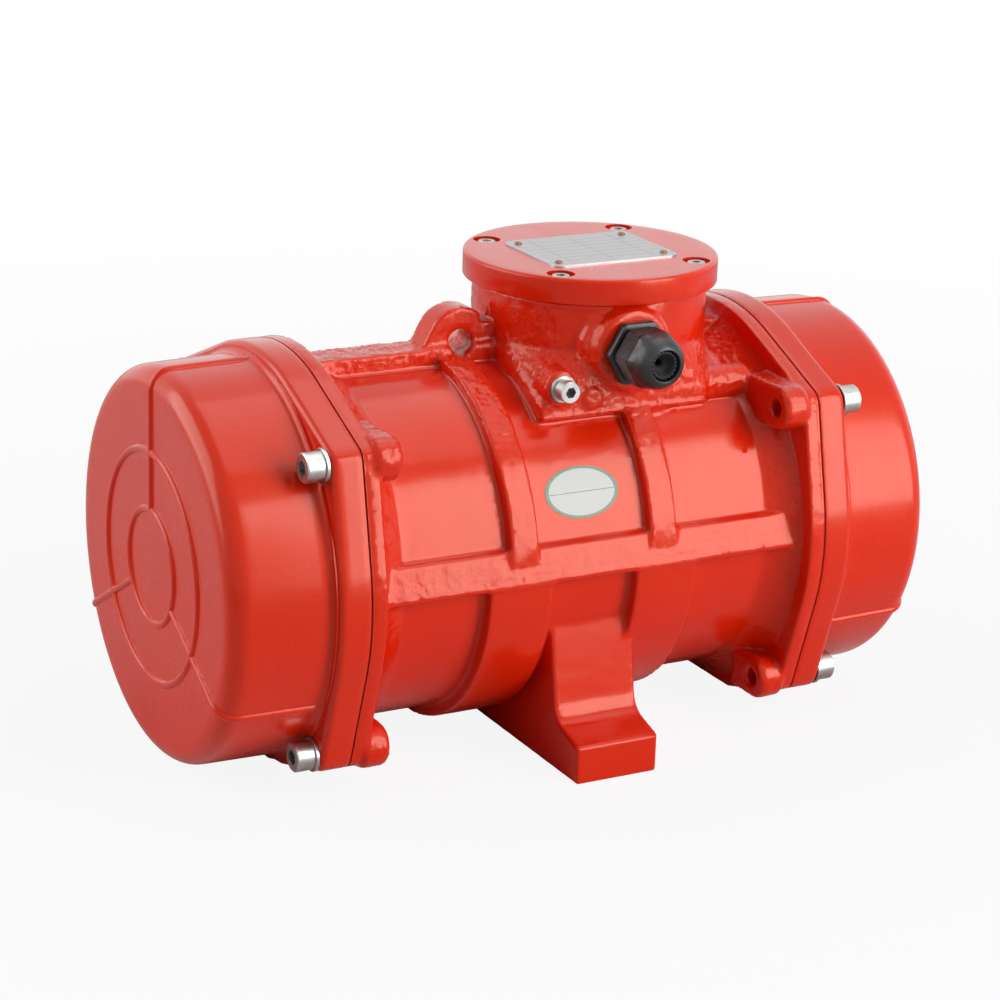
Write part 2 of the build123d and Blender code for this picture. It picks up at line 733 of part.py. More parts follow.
def bearing_shield():
    """Right-hand end shield that carries the roller bearing."""
    body = disc(joint_x - spigot_length, spigot_length, spigot_radius)
    body += disc(joint_x, shield_flange_thickness, shield_flange_radius)
    body += disc(bearing_inner_x - shield_lip, shield_outer_x - bearing_inner_x + shield_lip, shield_hub_radius)
    body -= disc(bearing_inner_x, 60, bearing_outer_radius + seat_clearance)
    body -= disc(0, 200, outer_race_bore - 4)
    for y, z in shield_screw_points():
        body -= at_x(joint_x - 1, y, z, Cylinder(
            shield_screw_size / 2 + 0.25, 20, align=(Align.CENTER, Align.CENTER, Align.MIN)))
    for y, z in cap_screw_points():
        body -= at_x(shield_outer_x + 1, y, z, Cylinder(
            cap_screw_size / 2 + seat_clearance, 12, align=(Align.CENTER, Align.CENTER, Align.MAX)))
    return body


def shield_screws():
    screw = socket_screw(shield_screw_size, shield_screw_length)
    return [at_x(shield_outer_x, y, z, screw) for y, z in shield_screw_points()]


def bearing_cap():
    body = disc(shield_outer_x, cap_thickness, shield_hub_radius)
    body += disc(bearing_outer_x, shield_outer_x - bearing_outer_x, bearing_outer_radius)
    body -= disc(0, 200, spacer_radius + winding_clearance)
    body -= disc(bearing_outer_x - 1, 3, outer_race_bore)
    for y, z in cap_screw_points():
        body -= at_x(0, y, z, Cylinder(cap_screw_size / 2 + 0.25, 300, align=(Align.CENTER, Align.CENTER, Align.MIN)))
    return body


def bearing_cap_screws():
    screw = socket_screw(cap_screw_size, cap_screw_length)
    return [at_x(shield_outer_x + cap_thickness, y, z, screw) for y, z in cap_screw_points()]


def outer_race():
    ring = disc(bearing_inner_x, bearing_width, bearing_outer_radius, outer_race_bore)
    lip = disc(bearing_inner_x, 2.4, bearing_outer_radius - 1, outer_race_bore - 2.4)
    return ring + lip + disc(bearing_outer_x - 2.4, 2.4, bearing_outer_radius - 1, outer_race_bore - 2.4)


def inner_race():
    return disc(bearing_inner_x, bearing_width, inner_race_radius, bearing_bore_radius + seat_clearance)


def rollers():
    roller = Cylinder(roller_radius, roller_length)
    points = bolt_points(roller_circle_radius, [360 / roller_count * n for n in range(roller_count)])
    return [at_x(bearing_x, y, z, roller) for y, z in points]


def bearing_cage():
    ring = disc(bearing_x - cage_width / 2 + 1.2, cage_width - 2.4, roller_circle_radius + cage_thickness / 2,
                roller_circle_radius - cage_thickness / 2)
    pocket = Cylinder(roller_radius + roller_gap, roller_length + 2 * roller_gap)
    for n in range(roller_count):
        y, z = polar_yz(roller_circle_radius, 360 / roller_count * n)
        ring -= at_x(bearing_x, y, z, pocket)
    return ring


def shaft():
    """Stepped shaft, with flats for the keys near both ends."""
    half = [(0, 0), (0, rotor_seat_radius), (rotor_seat_half_length, rotor_seat_radius),
            (rotor_seat_half_length, shoulder_radius), (bearing_inner_x, shoulder_radius),
            (bearing_inner_x, bearing_bore_radius), (bearing_outer_x, bearing_bore_radius),
            (bearing_outer_x, weight_seat_radius), (circlip_x, weight_seat_radius),
            (circlip_x, weight_seat_radius - 1), (circlip_x + circlip_thickness, weight_seat_radius - 1),
            (circlip_x + circlip_thickness, weight_seat_radius), (shaft_half_length - 1, weight_seat_radius),
            (shaft_half_length, weight_seat_radius - 1), (shaft_half_length, 0)]
    side = revolved(half)
    side -= Pos(inner_weight_x, 0, weight_seat_radius - key_height / 2) * Box(
        weight_thickness, key_width + 2 * seat_clearance, 10, align=(Align.MIN, Align.CENTER, Align.MIN))
    return side + mirrored(side)


def shaft_spacer():
    return disc(bearing_outer_x, spacer_end_x - bearing_outer_x, spacer_radius, weight_seat_radius + seat_clearance)


def weight_blank(x, bore):
    """Fan-shaped eccentric weight hanging from a clamp hub, split above the shaft."""
    half_angle = weight_sector_angle / 2
    sector = Circle(weight_radius) & make_face(Polyline(
        [(0, 8), (-120 * sin(radians(half_angle)), -120 * cos(radians(half_angle)) + 8),
         (-120, -120), (120, -120), (120 * sin(radians(half_angle)), -120 * cos(radians(half_angle)) + 8)],
        close=True))
    lugs = Pos(0, weight_hub_radius) * RectangleRounded(26, 22, 4)
    shape = sector + Circle(weight_hub_radius) + lugs - Circle(bore)
    shape -= Pos(0, weight_hub_radius) * Rectangle(weight_slit, 60)
    blank = extrude(facing_x(x) * shape, weight_thickness)
    blank -= Pos(x + weight_thickness / 2, 0, weight_hub_radius + lug_rise) * Rot(90, 0, 0) * Cylinder(
        clamp_screw_size / 2 + seat_clearance, 60)
    return blank


def inner_weight():
    blank = weight_blank(inner_weight_x, weight_seat_radius + seat_clearance)
    slot = Pos(inner_weight_x - 1, 0, 0) * Box(
        weight_thickness + 2, key_width + 2 * seat_clearance, weight_seat_radius + key_height / 2 + seat_clearance,
        align=(Align.MIN, Align.CENTER, Align.MIN))
    return blank - slot


def outer_weight():
    return weight_blank(outer_weight_x, weight_seat_radius + running_clearance)


def clamp_screw(x):
    """Screw across the clamp lugs of a weight, its head at the front."""
    screw = socket_screw(clamp_screw_size, 24)
    seat_y = -13
    return Pos(x + weight_thickness / 2, seat_y, weight_hub_radius + lug_rise) * Rot(90, 0, 0) * screw


def weight_key():
    return Pos(inner_weight_x, 0, weight_seat_radius - key_height / 2) * Box(
        weight_thickness, key_width, key_height - seat_clearance, align=(Align.MIN, Align.CENTER, Align.MIN))


def circlip():
    ring = Circle(weight_seat_radius + 2.4) - Circle(weight_seat_radius - 1 + seat_clearance)
    ring -= Pos(0, weight_seat_radius) * Rectangle(7, 12)
    return extrude(facing_x(circlip_x + 0.1) * ring, circlip_thickness - 0.2)


def stator_core():
    """Laminated ring with open slots around its bore."""
    ring = Circle(stator_radius) - Circle(stator_bore_radius)
    slot = Pos(0, (slot_bottom_radius + slot_mouth_radius) / 2) * Rectangle(
        slot_width, slot_bottom_radius - slot_mouth_radius)
    slot += Pos(0, slot_mouth_radius - 1) * Rectangle(slot_opening, 6)
    for n in range(slot_count):
        ring -= Rot(0, 0, 360 / slot_count * n) * slot
    return extrude(facing_x(-stator_half_length) * ring, 2 * stator_half_length)


def stator_windings():
    """Conductor bars in the slots, joined by the end turns."""
    low = slot_mouth_radius + winding_clearance
    high = slot_bottom_radius - winding_clearance
    bar = Pos(0, (low + high) / 2) * Rectangle(slot_width - 2 * winding_clearance, high - low)
    bars = Sketch() + [Rot(0, 0, 360 / slot_count * n) * bar for n in range(slot_count)]
    body = extrude(facing_x(-stator_half_length - 4) * bars, 2 * stator_half_length + 8)
    turns = disc(stator_half_length + 1, winding_overhang, slot_bottom_radius + 5, low)
    turns = chamfer(turns.edges().filter_by(GeomType.CIRCLE), 2.5)
    return body + turns + mirrored(turns)


def rotor_core():
    ring = Circle(rotor_radius) - Circle(rotor_seat_radius + seat_clearance)
    for n in range(rotor_bar_count):
        ring -= Rot(0, 0, 360 / rotor_bar_count * n) * Pos(0, rotor_radius - 4.5) * Circle(rotor_bar_radius)
    return extrude(facing_x(-stator_half_length) * ring, 2 * stator_half_length)


def rotor_cage():
    """Cast bars and end rings of the rotor."""
    bars = Sketch() + [Rot(0, 0, 360 / rotor_bar_count * n) * Pos(0, rotor_radius - 4.5) * Circle(
        rotor_bar_radius - seat_clearance) for n in range(rotor_bar_count)]
    body = extrude(facing_x(-stator_half_length) * bars, 2 * stator_half_length)
    ring = disc(stator_half_length, end_ring_thickness, rotor_radius - 1, rotor_radius - 9)
    return body + ring + mirrored(ring)


def solids_of(shape):
    pieces = shape if isinstance(shape, list) else [shape]
    return [solid for piece in pieces for solid in piece.solids()]


def write(name, shape):
    """Writes a node with its feet on Z = 0."""
    solids = [Pos(0, 0, axis_height) * solid for solid in solids_of(shape)]
    part = solids[0] if len(solids) == 1 else Compound(children=solids)
    export_step(part, os.path.join("parts", name + ".step"))


def write_pair(name, shape):
    """Writes a right-hand node and its mirror image for the left-hand end."""
    solids = solids_of(shape)
    write(name + "_right", solids)
    write(name + "_left", [mirrored(solid) for solid in solids])


os.makedirs("parts", exist_ok=True)

write("housing", housing())
write("stator_core", stator_core())
write("stator_windings", stator_windings())
write("shaft", shaft())
write("rotor_core", rotor_core())
write("rotor_cage", rotor_cage())
write_pair("cover", cover())
write_pair("cover_gasket", cover_gasket())
write_pair("cover_screws", cover_screws())
write_pair("cover_washers", cover_washers())
write_pair("bearing_shield", bearing_shield())
write_pair("shield_screws", shield_screws())
write_pair("bearing_cap", bearing_cap())
write_pair("bearing_cap_screws", bearing_cap_screws())
write_pair("bearing_outer_race", outer_race())
write_pair("bearing_inner_race", inner_race())
write_pair("bearing_rollers", rollers())
write_pair("bearing_cage", bearing_cage())
write_pair("shaft_spacer", shaft_spacer())
write_pair("inner_weight", inner_weight())
write_pair("outer_weight", outer_weight())
write_pair("inner_weight_clamp_screw", clamp_screw(inner_weight_x))
write_pair("outer_weight_clamp_screw", clamp_screw(outer_weight_x))
write_pair("weight_key", weight_key())
write_pair("circlip", circlip())
write("terminal_lid", lid())
write("terminal_lid_gasket", lid_gasket())
write("terminal_lid_screws", lid_screws())
write("nameplate", nameplate())
write("nameplate_rivets", nameplate_rivets())
write("gland_body", gland_body())
write("gland_nut", gland_nut())
write("gland_seal", gland_seal())
write("ground_screw", ground_screw())
write("ground_washer", ground_washer())
write("terminal_block", terminal_block())
write("terminal_studs", terminal_studs())
write("terminal_nuts", terminal_nuts())
write("terminal_block_screws", terminal_block_screws())
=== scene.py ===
import math

import bmesh
import bpy
import numpy as np
from bpy.props import FloatProperty, FloatVectorProperty, IntProperty, PointerProperty
from bpy.types import Operator, Panel, PropertyGroup
from mathutils import Matrix, Vector, noise


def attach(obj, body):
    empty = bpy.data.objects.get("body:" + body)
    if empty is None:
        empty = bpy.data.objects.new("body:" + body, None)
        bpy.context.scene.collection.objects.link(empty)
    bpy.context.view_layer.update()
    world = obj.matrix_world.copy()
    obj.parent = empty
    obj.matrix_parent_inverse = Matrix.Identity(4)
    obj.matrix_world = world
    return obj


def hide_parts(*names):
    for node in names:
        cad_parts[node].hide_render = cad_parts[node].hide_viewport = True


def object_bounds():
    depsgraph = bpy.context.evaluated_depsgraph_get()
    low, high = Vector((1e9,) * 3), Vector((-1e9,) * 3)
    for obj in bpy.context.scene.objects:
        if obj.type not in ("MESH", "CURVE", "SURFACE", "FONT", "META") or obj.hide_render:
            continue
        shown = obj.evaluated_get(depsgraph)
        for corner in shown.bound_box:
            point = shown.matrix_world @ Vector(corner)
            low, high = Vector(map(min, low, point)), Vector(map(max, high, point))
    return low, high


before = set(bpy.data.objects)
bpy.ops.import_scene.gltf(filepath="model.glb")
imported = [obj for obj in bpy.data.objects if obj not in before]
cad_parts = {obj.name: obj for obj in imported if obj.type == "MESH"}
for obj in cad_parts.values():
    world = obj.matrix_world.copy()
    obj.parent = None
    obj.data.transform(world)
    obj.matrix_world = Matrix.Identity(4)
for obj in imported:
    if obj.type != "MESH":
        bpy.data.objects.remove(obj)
CAD_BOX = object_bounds()
MM = 0.001

bl_info = {
    "name": "Vibration Motor",
    "version": (1, 0, 0),
    "blender": (4, 5, 0),
    "location": "View3D > Sidebar > Motor",
    "description": "Builds the finish and the fine shapes of a cast vibration motor around its frame",
    "category": "Object",
}


def length(name, millimetres, description):
    return FloatProperty(name=name, description=description, default=millimetres * MM, unit="LENGTH", precision=5)


def colour(name, value, description):
    return FloatVectorProperty(name=name, description=description, default=value, subtype="COLOR", size=3,
                               min=0.0, max=1.0)


def angle(name, degrees, description):
    return FloatProperty(name=name, description=description, default=math.radians(degrees), unit="ROTATION")


# Sizes and colours


class CoverSizes(PropertyGroup):
    shaft_height: length("Shaft height", 88, "Height of the shaft axis above the foot")
    end: length("End face", 170, "Distance from the motor's middle to a cover's end face")
    radius: length("Radius", 86, "Radius of the cup at its closed end")
    draft: length("Draft", 0.6, "How much wider the cup is where it meets its flange")
    edge: length("Edge rounding", 9, "Radius of the rounded edge between the end face and the side")
    face: length("Flange face", 124.5, "Distance from the motor's middle to the flange's outer face")
    joint: length("Joint face", 110.8, "Distance from the motor's middle to the face that meets the gasket")
    root: length("Root fillet", 3, "Fillet between the cup and its flange")
    step: length("Step", 0.8, "Height of the raised band around the cup's root")
    rounding: length("Flange rounding", 3, "Rounding of the flange's outer edge")
    flange_radius: length("Flange radius", 92, "Radius of the round part of the flange")
    ear_radius: length("Ear radius", 7.8, "Radius of each ear around its screw")
    bolt_circle: length("Bolt circle radius", 95, "Radius of the circle that the cover screws stand on")
    upper_ear: angle("Upper ear angle", 50.3, "Angle of the upper ears from the top")
    lower_ear: angle("Lower ear angle", 44.4, "Angle of the lower ears from the bottom")
    flat: length("Bottom flat", 86.5, "Depth of the flange's flat below the shaft axis")
    spot: length("Spot face radius", 7.9, "Radius of the machined seat under each washer")
    hole: length("Screw hole radius", 4.5, "Radius of the hole for each cover screw")
    bead_width: length("Bead width", 3.4, "Width of the raised beads")
    bead_height: length("Bead height", 1.3, "Height of the raised beads")
    inner_ring: length("Inner ring", 25, "Radius of the inner raised ring")
    outer_ring: length("Outer ring", 50.5, "Radius of the outer raised ring")
    wall: length("Wall", 6, "Thickness of the cup")
    steps: IntProperty(name="Steps", description="Points around the cover, without the extra ones at the beads",
                       default=288, min=72, max=720)


class CastingSizes(PropertyGroup):
    voxel: length("Grain of the skin", 0.95, "Size of the cells that the cast skin is rebuilt from")
    triangles: IntProperty(name="Triangles", description="Most triangles that the finished skin keeps",
                           default=190000, min=20000)
    barrel: length("Barrel radius", 77, "Radius of the barrel")
    rib_x: length("Hoop rib X", 34, "Distance of each hoop rib from the motor's middle")
    rib_width: length("Hoop rib width", 13, "Width of each hoop rib along the motor")
    rib_radius: length("Hoop rib radius", 82, "Radius of the hoop ribs")
    top_rib_width: length("Top rib width", 18, "Width of the rib along the top")
    top_rib_height: length("Top rib height", 84.5, "Height of the top rib above the shaft")
    lug_width: length("Lug thickness", 14, "Thickness of the lifting lug")
    lug_shoulder: length("Lug shoulder", 94, "Height of the lug's shoulder above the shaft")
    web_y: length("Web Y", 43, "Distance of the webs beside the terminal box from the middle")
    web_rise: length("Web height", 66, "Height of the webs above the shaft")
    web_radius: length("Web radius", 7.5, "Radius of the webs")
    smoothing: IntProperty(name="Smoothing", description="Passes that round the casting's edges and corners",
                           default=2, min=0, max=40)
    lumps: length("Lump height", 0.4, "Height of the coarse lumps of the cast skin")
    lump_size: length("Lump size", 7, "Distance between the coarse lumps")
    pits: length("Pit depth", 0.42, "Depth of the fine pits of the cast skin")
    pit_size: length("Pit size", 2.0, "Distance between the fine pits")
    bore: length("Bore radius", 65.05, "Radius of the stator bore")
    counterbore: length("Counterbore radius", 70.05, "Radius of the bore that seats the bearing shields")
    counterbore_depth: length("Counterbore depth", 18.5, "Depth of that bore from the joint face")
    joint: length("Joint face", 110, "Distance from the motor's middle to the housing's joint face")


class BoxSizes(PropertyGroup):
    x: length("Box centre", 38.5, "Distance of the terminal box's axis from the motor's middle")
    top: length("Rim height", 196, "Height of the terminal box's rim")
    floor: length("Floor height", 168, "Height of the terminal box's floor")
    screw_circle: length("Screw circle radius", 48.2, "Radius of the circle that the lid screws stand on")
    lid_radius: length("Lid radius", 56.6, "Radius of the lid")
    lid_bottom: length("Lid underside", 196.8, "Height of the lid's underside")
    lid_top: length("Lid top", 208, "Height of the lid's top")
    lid_rounding: length("Lid rounding", 1.4, "Rounding of the lid's upper edge")
    seat_radius: length("Screw seat radius", 6.2, "Radius of the recess around each lid screw")
    seat_depth: length("Screw seat depth", 5.6, "Depth of the recess around each lid screw")
    register: length("Register radius", 41.2, "Radius of the ridge that centres the lid")
    register_height: length("Register height", 3, "Height of the ridge that centres the lid")
    drum: length("Drum radius", 52, "Radius of the terminal box")
    left: length("Block's left side", -13, "Place of the left side of the block under the box")
    right: length("Block's right side", 70, "Place of the right side of the block under the box")
    front: length("Block half width", 52.6, "Distance of the block's front from the motor's middle")
    low: length("Block's lower edge", 61.8, "Height of the block's lower edge above the shaft")
    shoulder: length("Block's shoulder", 66, "Height above the shaft at which the block's front starts to slope")
    crown: length("Block's crown", 87, "Height above the shaft at which the block ends in the drum")
    lip: length("Lip radius", 0.9, "Radius of the lip along the block's lower edge")
    boss: length("Gland boss radius", 17, "Radius of the boss that the gland is screwed into")
    pad: length("Earth pad radius", 7.5, "Radius of the flat seat under the earth screw")
    mark: length("Mark radius", 4.2, "Radius of the small raised disc beside the earth screw")
    mark_x: length("Mark X", 11.8, "Place of that disc along the motor")
    mark_rise: length("Mark height", 68.7, "Height of that disc above the shaft")


class ScrewSizes(PropertyGroup):
    cover: length("Cover screw", 8, "Thread diameter of the cover screws")
    cover_length: length("Cover screw length", 25, "Length of the cover screws below their heads")
    lid: length("Lid screw", 5, "Thread diameter of the lid screws")
    lid_length: length("Lid screw length", 16, "Length of the lid screws below their heads")
    earth: length("Earth screw", 6, "Thread diameter of the earth screw")
    earth_length: length("Earth screw length", 12, "Length of the earth screw below its head")
    earth_x: length("Earth screw X", -4, "Place of the earth screw along the motor")
    earth_y: length("Earth screw Y", -54, "Place of the face under the earth screw")
    earth_z: length("Earth screw height", 163, "Height of the earth screw")
    washer: length("Washer thickness", 1.6, "Thickness of the washers")
    washer_radius: length("Washer radius", 7.4, "Radius of the cover screws' washers")


class GlandSizes(PropertyGroup):
    x: length("Gland X", 31, "Place of the gland along the motor")
    face: length("Gland seat", -54.5, "Place of the face that the gland is screwed against")
    z: length("Gland height", 176, "Height of the gland's axis")
    flats: length("Flange across flats", 26.6, "Distance across the flats of the gland's flange")
    hexagon: length("Nut across flats", 24, "Distance across the flats of the gland's nut")
    flange: length("Flange thickness", 4, "Thickness of the gland's flange")
    gap: length("Nut gap", 1, "Gap between the flange and the nut")
    nut: length("Nut length", 12, "Length of the nut up to its dome")
    dome: length("Dome length", 9, "Length of the nut's dome")
    grip: length("Grip length", 9.8, "Length of the nut's ridged part")
    bend: length("Dome bend", 8, "Radius of the bend that rounds the dome over")
    mouth: length("Mouth radius", 6.8, "Radius of the nut's mouth")
    neck: length("Neck radius", 9.4, "Radius of the threaded neck inside the nut")
    thread: length("Thread radius", 10, "Radius of the thread in the housing")
    thread_length: length("Thread length", 9, "Length of the thread in the housing")
    seal: length("Seal bore radius", 3, "Radius of the hole in the rubber seal")
    ridges: IntProperty(name="Ridges", description="Grip ridges around the nut", default=84, min=12, max=160)
    fins: IntProperty(name="Fins", description="Folds around the seal's mouth", default=20, min=6, max=32)


class PlateSizes(PropertyGroup):
    length: length("Length", 63, "Length of the nameplate along the motor")
    width: length("Width", 50, "Width of the nameplate across the motor")
    thickness: length("Thickness", 0.8, "Thickness of the nameplate")
    corner: length("Corner radius", 5, "Radius of the nameplate's corners")
    rivet_x: length("Rivet spacing along", 53, "Distance between rivets along the motor")
    rivet_y: length("Rivet spacing across", 37, "Distance between rivets across the motor")
    rivet: length("Rivet radius", 1.7, "Radius of the rivets' heads")
    rivet_height: length("Rivet height", 0.9, "Height of the rivets' heads")


class StickerSizes(PropertyGroup):
    x: length("Centre X", -1.5, "Place of the sticker along the motor")
    barrel: length("Barrel radius", 77, "Radius of the barrel that the sticker lies on")
    turn: angle("Turn", 64.5, "Angle of the sticker's centre from the top of the barrel")
    width: length("Width", 35.6, "Width of the sticker")
    height: length("Height", 22.6, "Height of the sticker around the barrel")
    thickness: length("Thickness", 0.15, "Thickness of the sticker")


class Colours(PropertyGroup):
    enamel: colour("Enamel", (0.750, 0.020, 0.0015), "Orange-red enamel of the castings")
    # Darker enamel tone: used for random darker patches, and as painted shade in the hollows of the cast skin.
    enamel_patch_and_shade: colour("Enamel in recesses", (0.540, 0.006, 0.001), "Enamel where it has run together")
    zinc: colour("Zinc", (0.52, 0.52, 0.50), "Plated screws and washers")
    nylon: colour("Nylon", (0.013, 0.0135, 0.0145), "Black nylon of the cable gland")
    rubber: colour("Rubber", (0.015, 0.015, 0.015), "Rubber seal of the cable gland")
    gasket: colour("Gasket", (0.035, 0.016, 0.010), "Dark brown jointing between castings")
    plate: colour("Nameplate", (0.52, 0.515, 0.525), "Aluminium nameplate")
    rivet: colour("Rivets", (0.30, 0.13, 0.07), "Copper rivets of the nameplate")
    paper: colour("Sticker", (0.50, 0.515, 0.475), "Blank middle of the sticker")
    border: colour("Sticker border", (0.045, 0.15, 0.085), "Green border of the sticker")
    iron: colour("Bare iron", (0.16, 0.15, 0.15), "Machined or bare cast iron")
    steel: colour("Steel", (0.42, 0.42, 0.43), "Shaft, weights and bearings")
    copper: colour("Copper", (0.50, 0.17, 0.06), "Varnished copper windings")
    brass: colour("Brass", (0.62, 0.44, 0.18), "Bearing cages and terminals")
    moulding: colour("Moulding", (0.09, 0.035, 0.022), "Thermoset terminal block")


class StageSizes(PropertyGroup):
    camera_x: length("Camera X", -613.72, "Place of the camera along the motor")
    camera_y: length("Camera Y", -1120.03, "Place of the camera in front of the motor")
    camera_z: length("Camera height", 514.67, "Height of the camera")
    yaw: angle("Yaw", 28.86, "Turn of the camera from looking along Y")
    pitch: angle("Pitch", -17.66, "Tilt of the camera above the horizon")
    roll: angle("Roll", 1.94, "Roll of the camera about its view")
    lens: FloatProperty(name="Lens", description="Focal length in millimetres", default=107.84)
    shift_x: FloatProperty(name="Shift X", description="Sideways shift of the view", default=-0.0138)
    shift_y: FloatProperty(name="Shift Y", description="Upward shift of the view", default=-0.0253)
    floor: FloatProperty(name="Floor size", description="Half the width of the floor", default=7.0, unit="LENGTH")
    floor_share: FloatProperty(name="Floor white", description="Share of plain white in the floor near the motor",
                               default=0.9)
    sky: FloatProperty(name="Sky", description="Strength of the even light from all around", default=1.04)
    key: FloatProperty(name="Key light", description="Power of the tall panel at the right", default=24.0)
    top: FloatProperty(name="Top light", description="Power of the panel above", default=5.0)
    side: FloatProperty(name="Side light", description="Power of the panel at the left", default=42.0)


class MotorSettings(PropertyGroup):
    cover: PointerProperty(type=CoverSizes)
    casting: PointerProperty(type=CastingSizes)
    box: PointerProperty(type=BoxSizes)
    screw: PointerProperty(type=ScrewSizes)
    gland: PointerProperty(type=GlandSizes)
    plate: PointerProperty(type=PlateSizes)
    sticker: PointerProperty(type=StickerSizes)
    colour: PointerProperty(type=Colours)
    stage: PointerProperty(type=StageSizes)


# Meshes


def add_object(name, mesh):
    obj = bpy.data.objects.new(name, mesh)
    bpy.context.scene.collection.objects.link(obj)
    return obj


def mesh_from(name, points, faces):
    mesh = bpy.data.meshes.new(name)
    mesh.from_pydata([tuple(point) for point in points], [], faces)
    mesh.validate()
    mesh.update()
    return mesh


def grid_faces(rows, columns, first=0, flip=False):
    """Quads of a grid whose rows are closed rings."""
    faces = []
    for row in range(rows - 1):
        a = first + row * columns
        b = a + columns
        for i in range(columns):
            j = (i + 1) % columns
            face = (a + i, a + j, b + j, b + i)
            faces.append(face[::-1] if flip else face)
    return faces


def ring_mesh(name, rings, start, end, flip=False):
    """Closed mesh of rings of points, with a middle point before the first and after the last."""
    rows, columns, _ = rings.shape
    points = [start] + [tuple(point) for point in rings.reshape(-1, 3)] + [end]
    faces = grid_faces(rows, columns, 1, flip)
    last = 1 + (rows - 1) * columns
    for i in range(columns):
        j = (i + 1) % columns
        near = (0, 1 + j, 1 + i)
        far = (len(points) - 1, last + i, last + j)
        faces += [near[::-1], far[::-1]] if flip else [near, far]
    return mesh_from(name, points, faces)


def closed_tube(name, rings, flip=False):
    """Mesh of rings of points whose last ring joins the first, such as a sleeve."""
    rows, columns, _ = rings.shape
    faces = grid_faces(rows, columns, 0, flip)
    last = (rows - 1) * columns
    for i in range(columns):
        j = (i + 1) % columns
        face = (last + i, last + j, j, i)
        faces.append(face[::-1] if flip else face)
    return mesh_from(name, rings.reshape(-1, 3), faces)


def outward(mesh):
    """Turns every face of a closed mesh outwards."""
    shape = bmesh.new()
    shape.from_mesh(mesh)
    bmesh.ops.recalc_face_normals(shape, faces=shape.faces)
    shape.to_mesh(mesh)
    shape.free()
    return mesh


def smooth_shading(obj, sharp_angle=35.0):
    obj.data.shade_smooth()
    obj.data.set_sharp_from_angle(angle=math.radians(sharp_angle))


def cylinder_object(name, start, direction, radius, size, sides=96):
    """Plain closed cylinder from a point along a direction, used as a cutter or a plug."""
    shape = bmesh.new()
    bmesh.ops.create_cone(shape, cap_ends=True, segments=sides, radius1=radius, radius2=radius, depth=size)
    turn = Vector((0, 0, 1)).rotation_difference(Vector(direction)).to_matrix().to_4x4()
    middle = Vector(start) + Vector(direction).normalized() * size / 2
    shape.transform(Matrix.Translation(middle) @ turn)
    mesh = bpy.data.meshes.new(name)
    shape.to_mesh(mesh)
    shape.free()
    return add_object(name, mesh)


def box_object(name, low, high):
    """Plain closed box between two corners."""
    shape = bmesh.new()
    bmesh.ops.create_cube(shape, size=1.0)
    for vert in shape.verts:
        vert.co = [a + (part + 0.5) * (b - a) for part, a, b in zip(vert.co, low, high)]
    mesh = bpy.data.meshes.new(name)
    shape.to_mesh(mesh)
    shape.free()
    return add_object(name, mesh)


def prism_object(name, outline, start, end):
    """Closed prism along X whose outline is given as (y, z) points."""
    count = len(outline)
    points = [(x, y, z) for x in (start, end) for y, z in outline]
    faces = [(i, (i + 1) % count, count + (i + 1) % count, count + i) for i in range(count)]
    faces += [tuple(range(count)), tuple(range(count, 2 * count))]
    return add_object(name, outward(mesh_from(name, points, faces)))


def hull_object(name, points):
    """Closed convex skin around the points."""
    shape = bmesh.new()
    for point in points:
        shape.verts.new(point)
    bmesh.ops.convex_hull(shape, input=shape.verts)
    mesh = bpy.data.meshes.new(name)
    shape.to_mesh(mesh)
    shape.free()
    return add_object(name, outward(mesh))


def joined(name, objects):
    """One object with the meshes of all the objects, which are removed."""
    shape = bmesh.new()
    for obj in objects:
        shape.from_mesh(obj.data)
        bpy.data.objects.remove(obj)
    mesh = bpy.data.meshes.new(name)
    shape.to_mesh(mesh)
    shape.free()
    return add_object(name, mesh)


def cut(obj, cutter, operation="DIFFERENCE"):
    """Takes the cutter's volume out of the object, or adds it, and removes the cutter."""
    modifier = obj.modifiers.new("Cut", "BOOLEAN")
    modifier.operation = operation
    modifier.solver = "MANIFOLD"
    modifier.object = cutter
    bake_modifiers(obj)
    bpy.data.objects.remove(cutter)


def bake_modifiers(obj):
    """Turns an object with its modifiers into a plain mesh."""
    graph = bpy.context.evaluated_depsgraph_get()
    graph.update()
    mesh = bpy.data.meshes.new_from_object(obj.evaluated_get(graph))
    obj.modifiers.clear()
    if not len(mesh.polygons):
        raise RuntimeError("the modifiers left nothing of " + obj.name)
    obj.data = mesh
    return obj


def frame_copy(node, name):
    """Copy of a frame node's mesh with its loose triangles merged."""
    shape = bmesh.new()
    shape.from_mesh(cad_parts[node].data)
    bmesh.ops.remove_doubles(shape, verts=shape.verts, dist=0.002 * MM)
    mesh = bpy.data.meshes.new(name)
    shape.to_mesh(mesh)
    shape.free()
    return add_object(name, mesh)


def finish_piece(obj, material, slot, body, *nodes, sharp_angle=35.0):
    """Gives a piece its shading, material and body, and lets it stand for its nodes. Its slot argument is not used."""
    smooth_shading(obj, sharp_angle)
    obj.data.materials.clear()
    obj.data.materials.append(material)
    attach(obj, body)
    if nodes:
        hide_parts(*nodes)


def paint_nodes(material, *nodes):
    """Gives frame nodes that keep their own shape their material."""
    for node in nodes:
        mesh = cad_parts[node].data
        mesh.materials.clear()
        mesh.materials.append(material)


# Geometry node trees


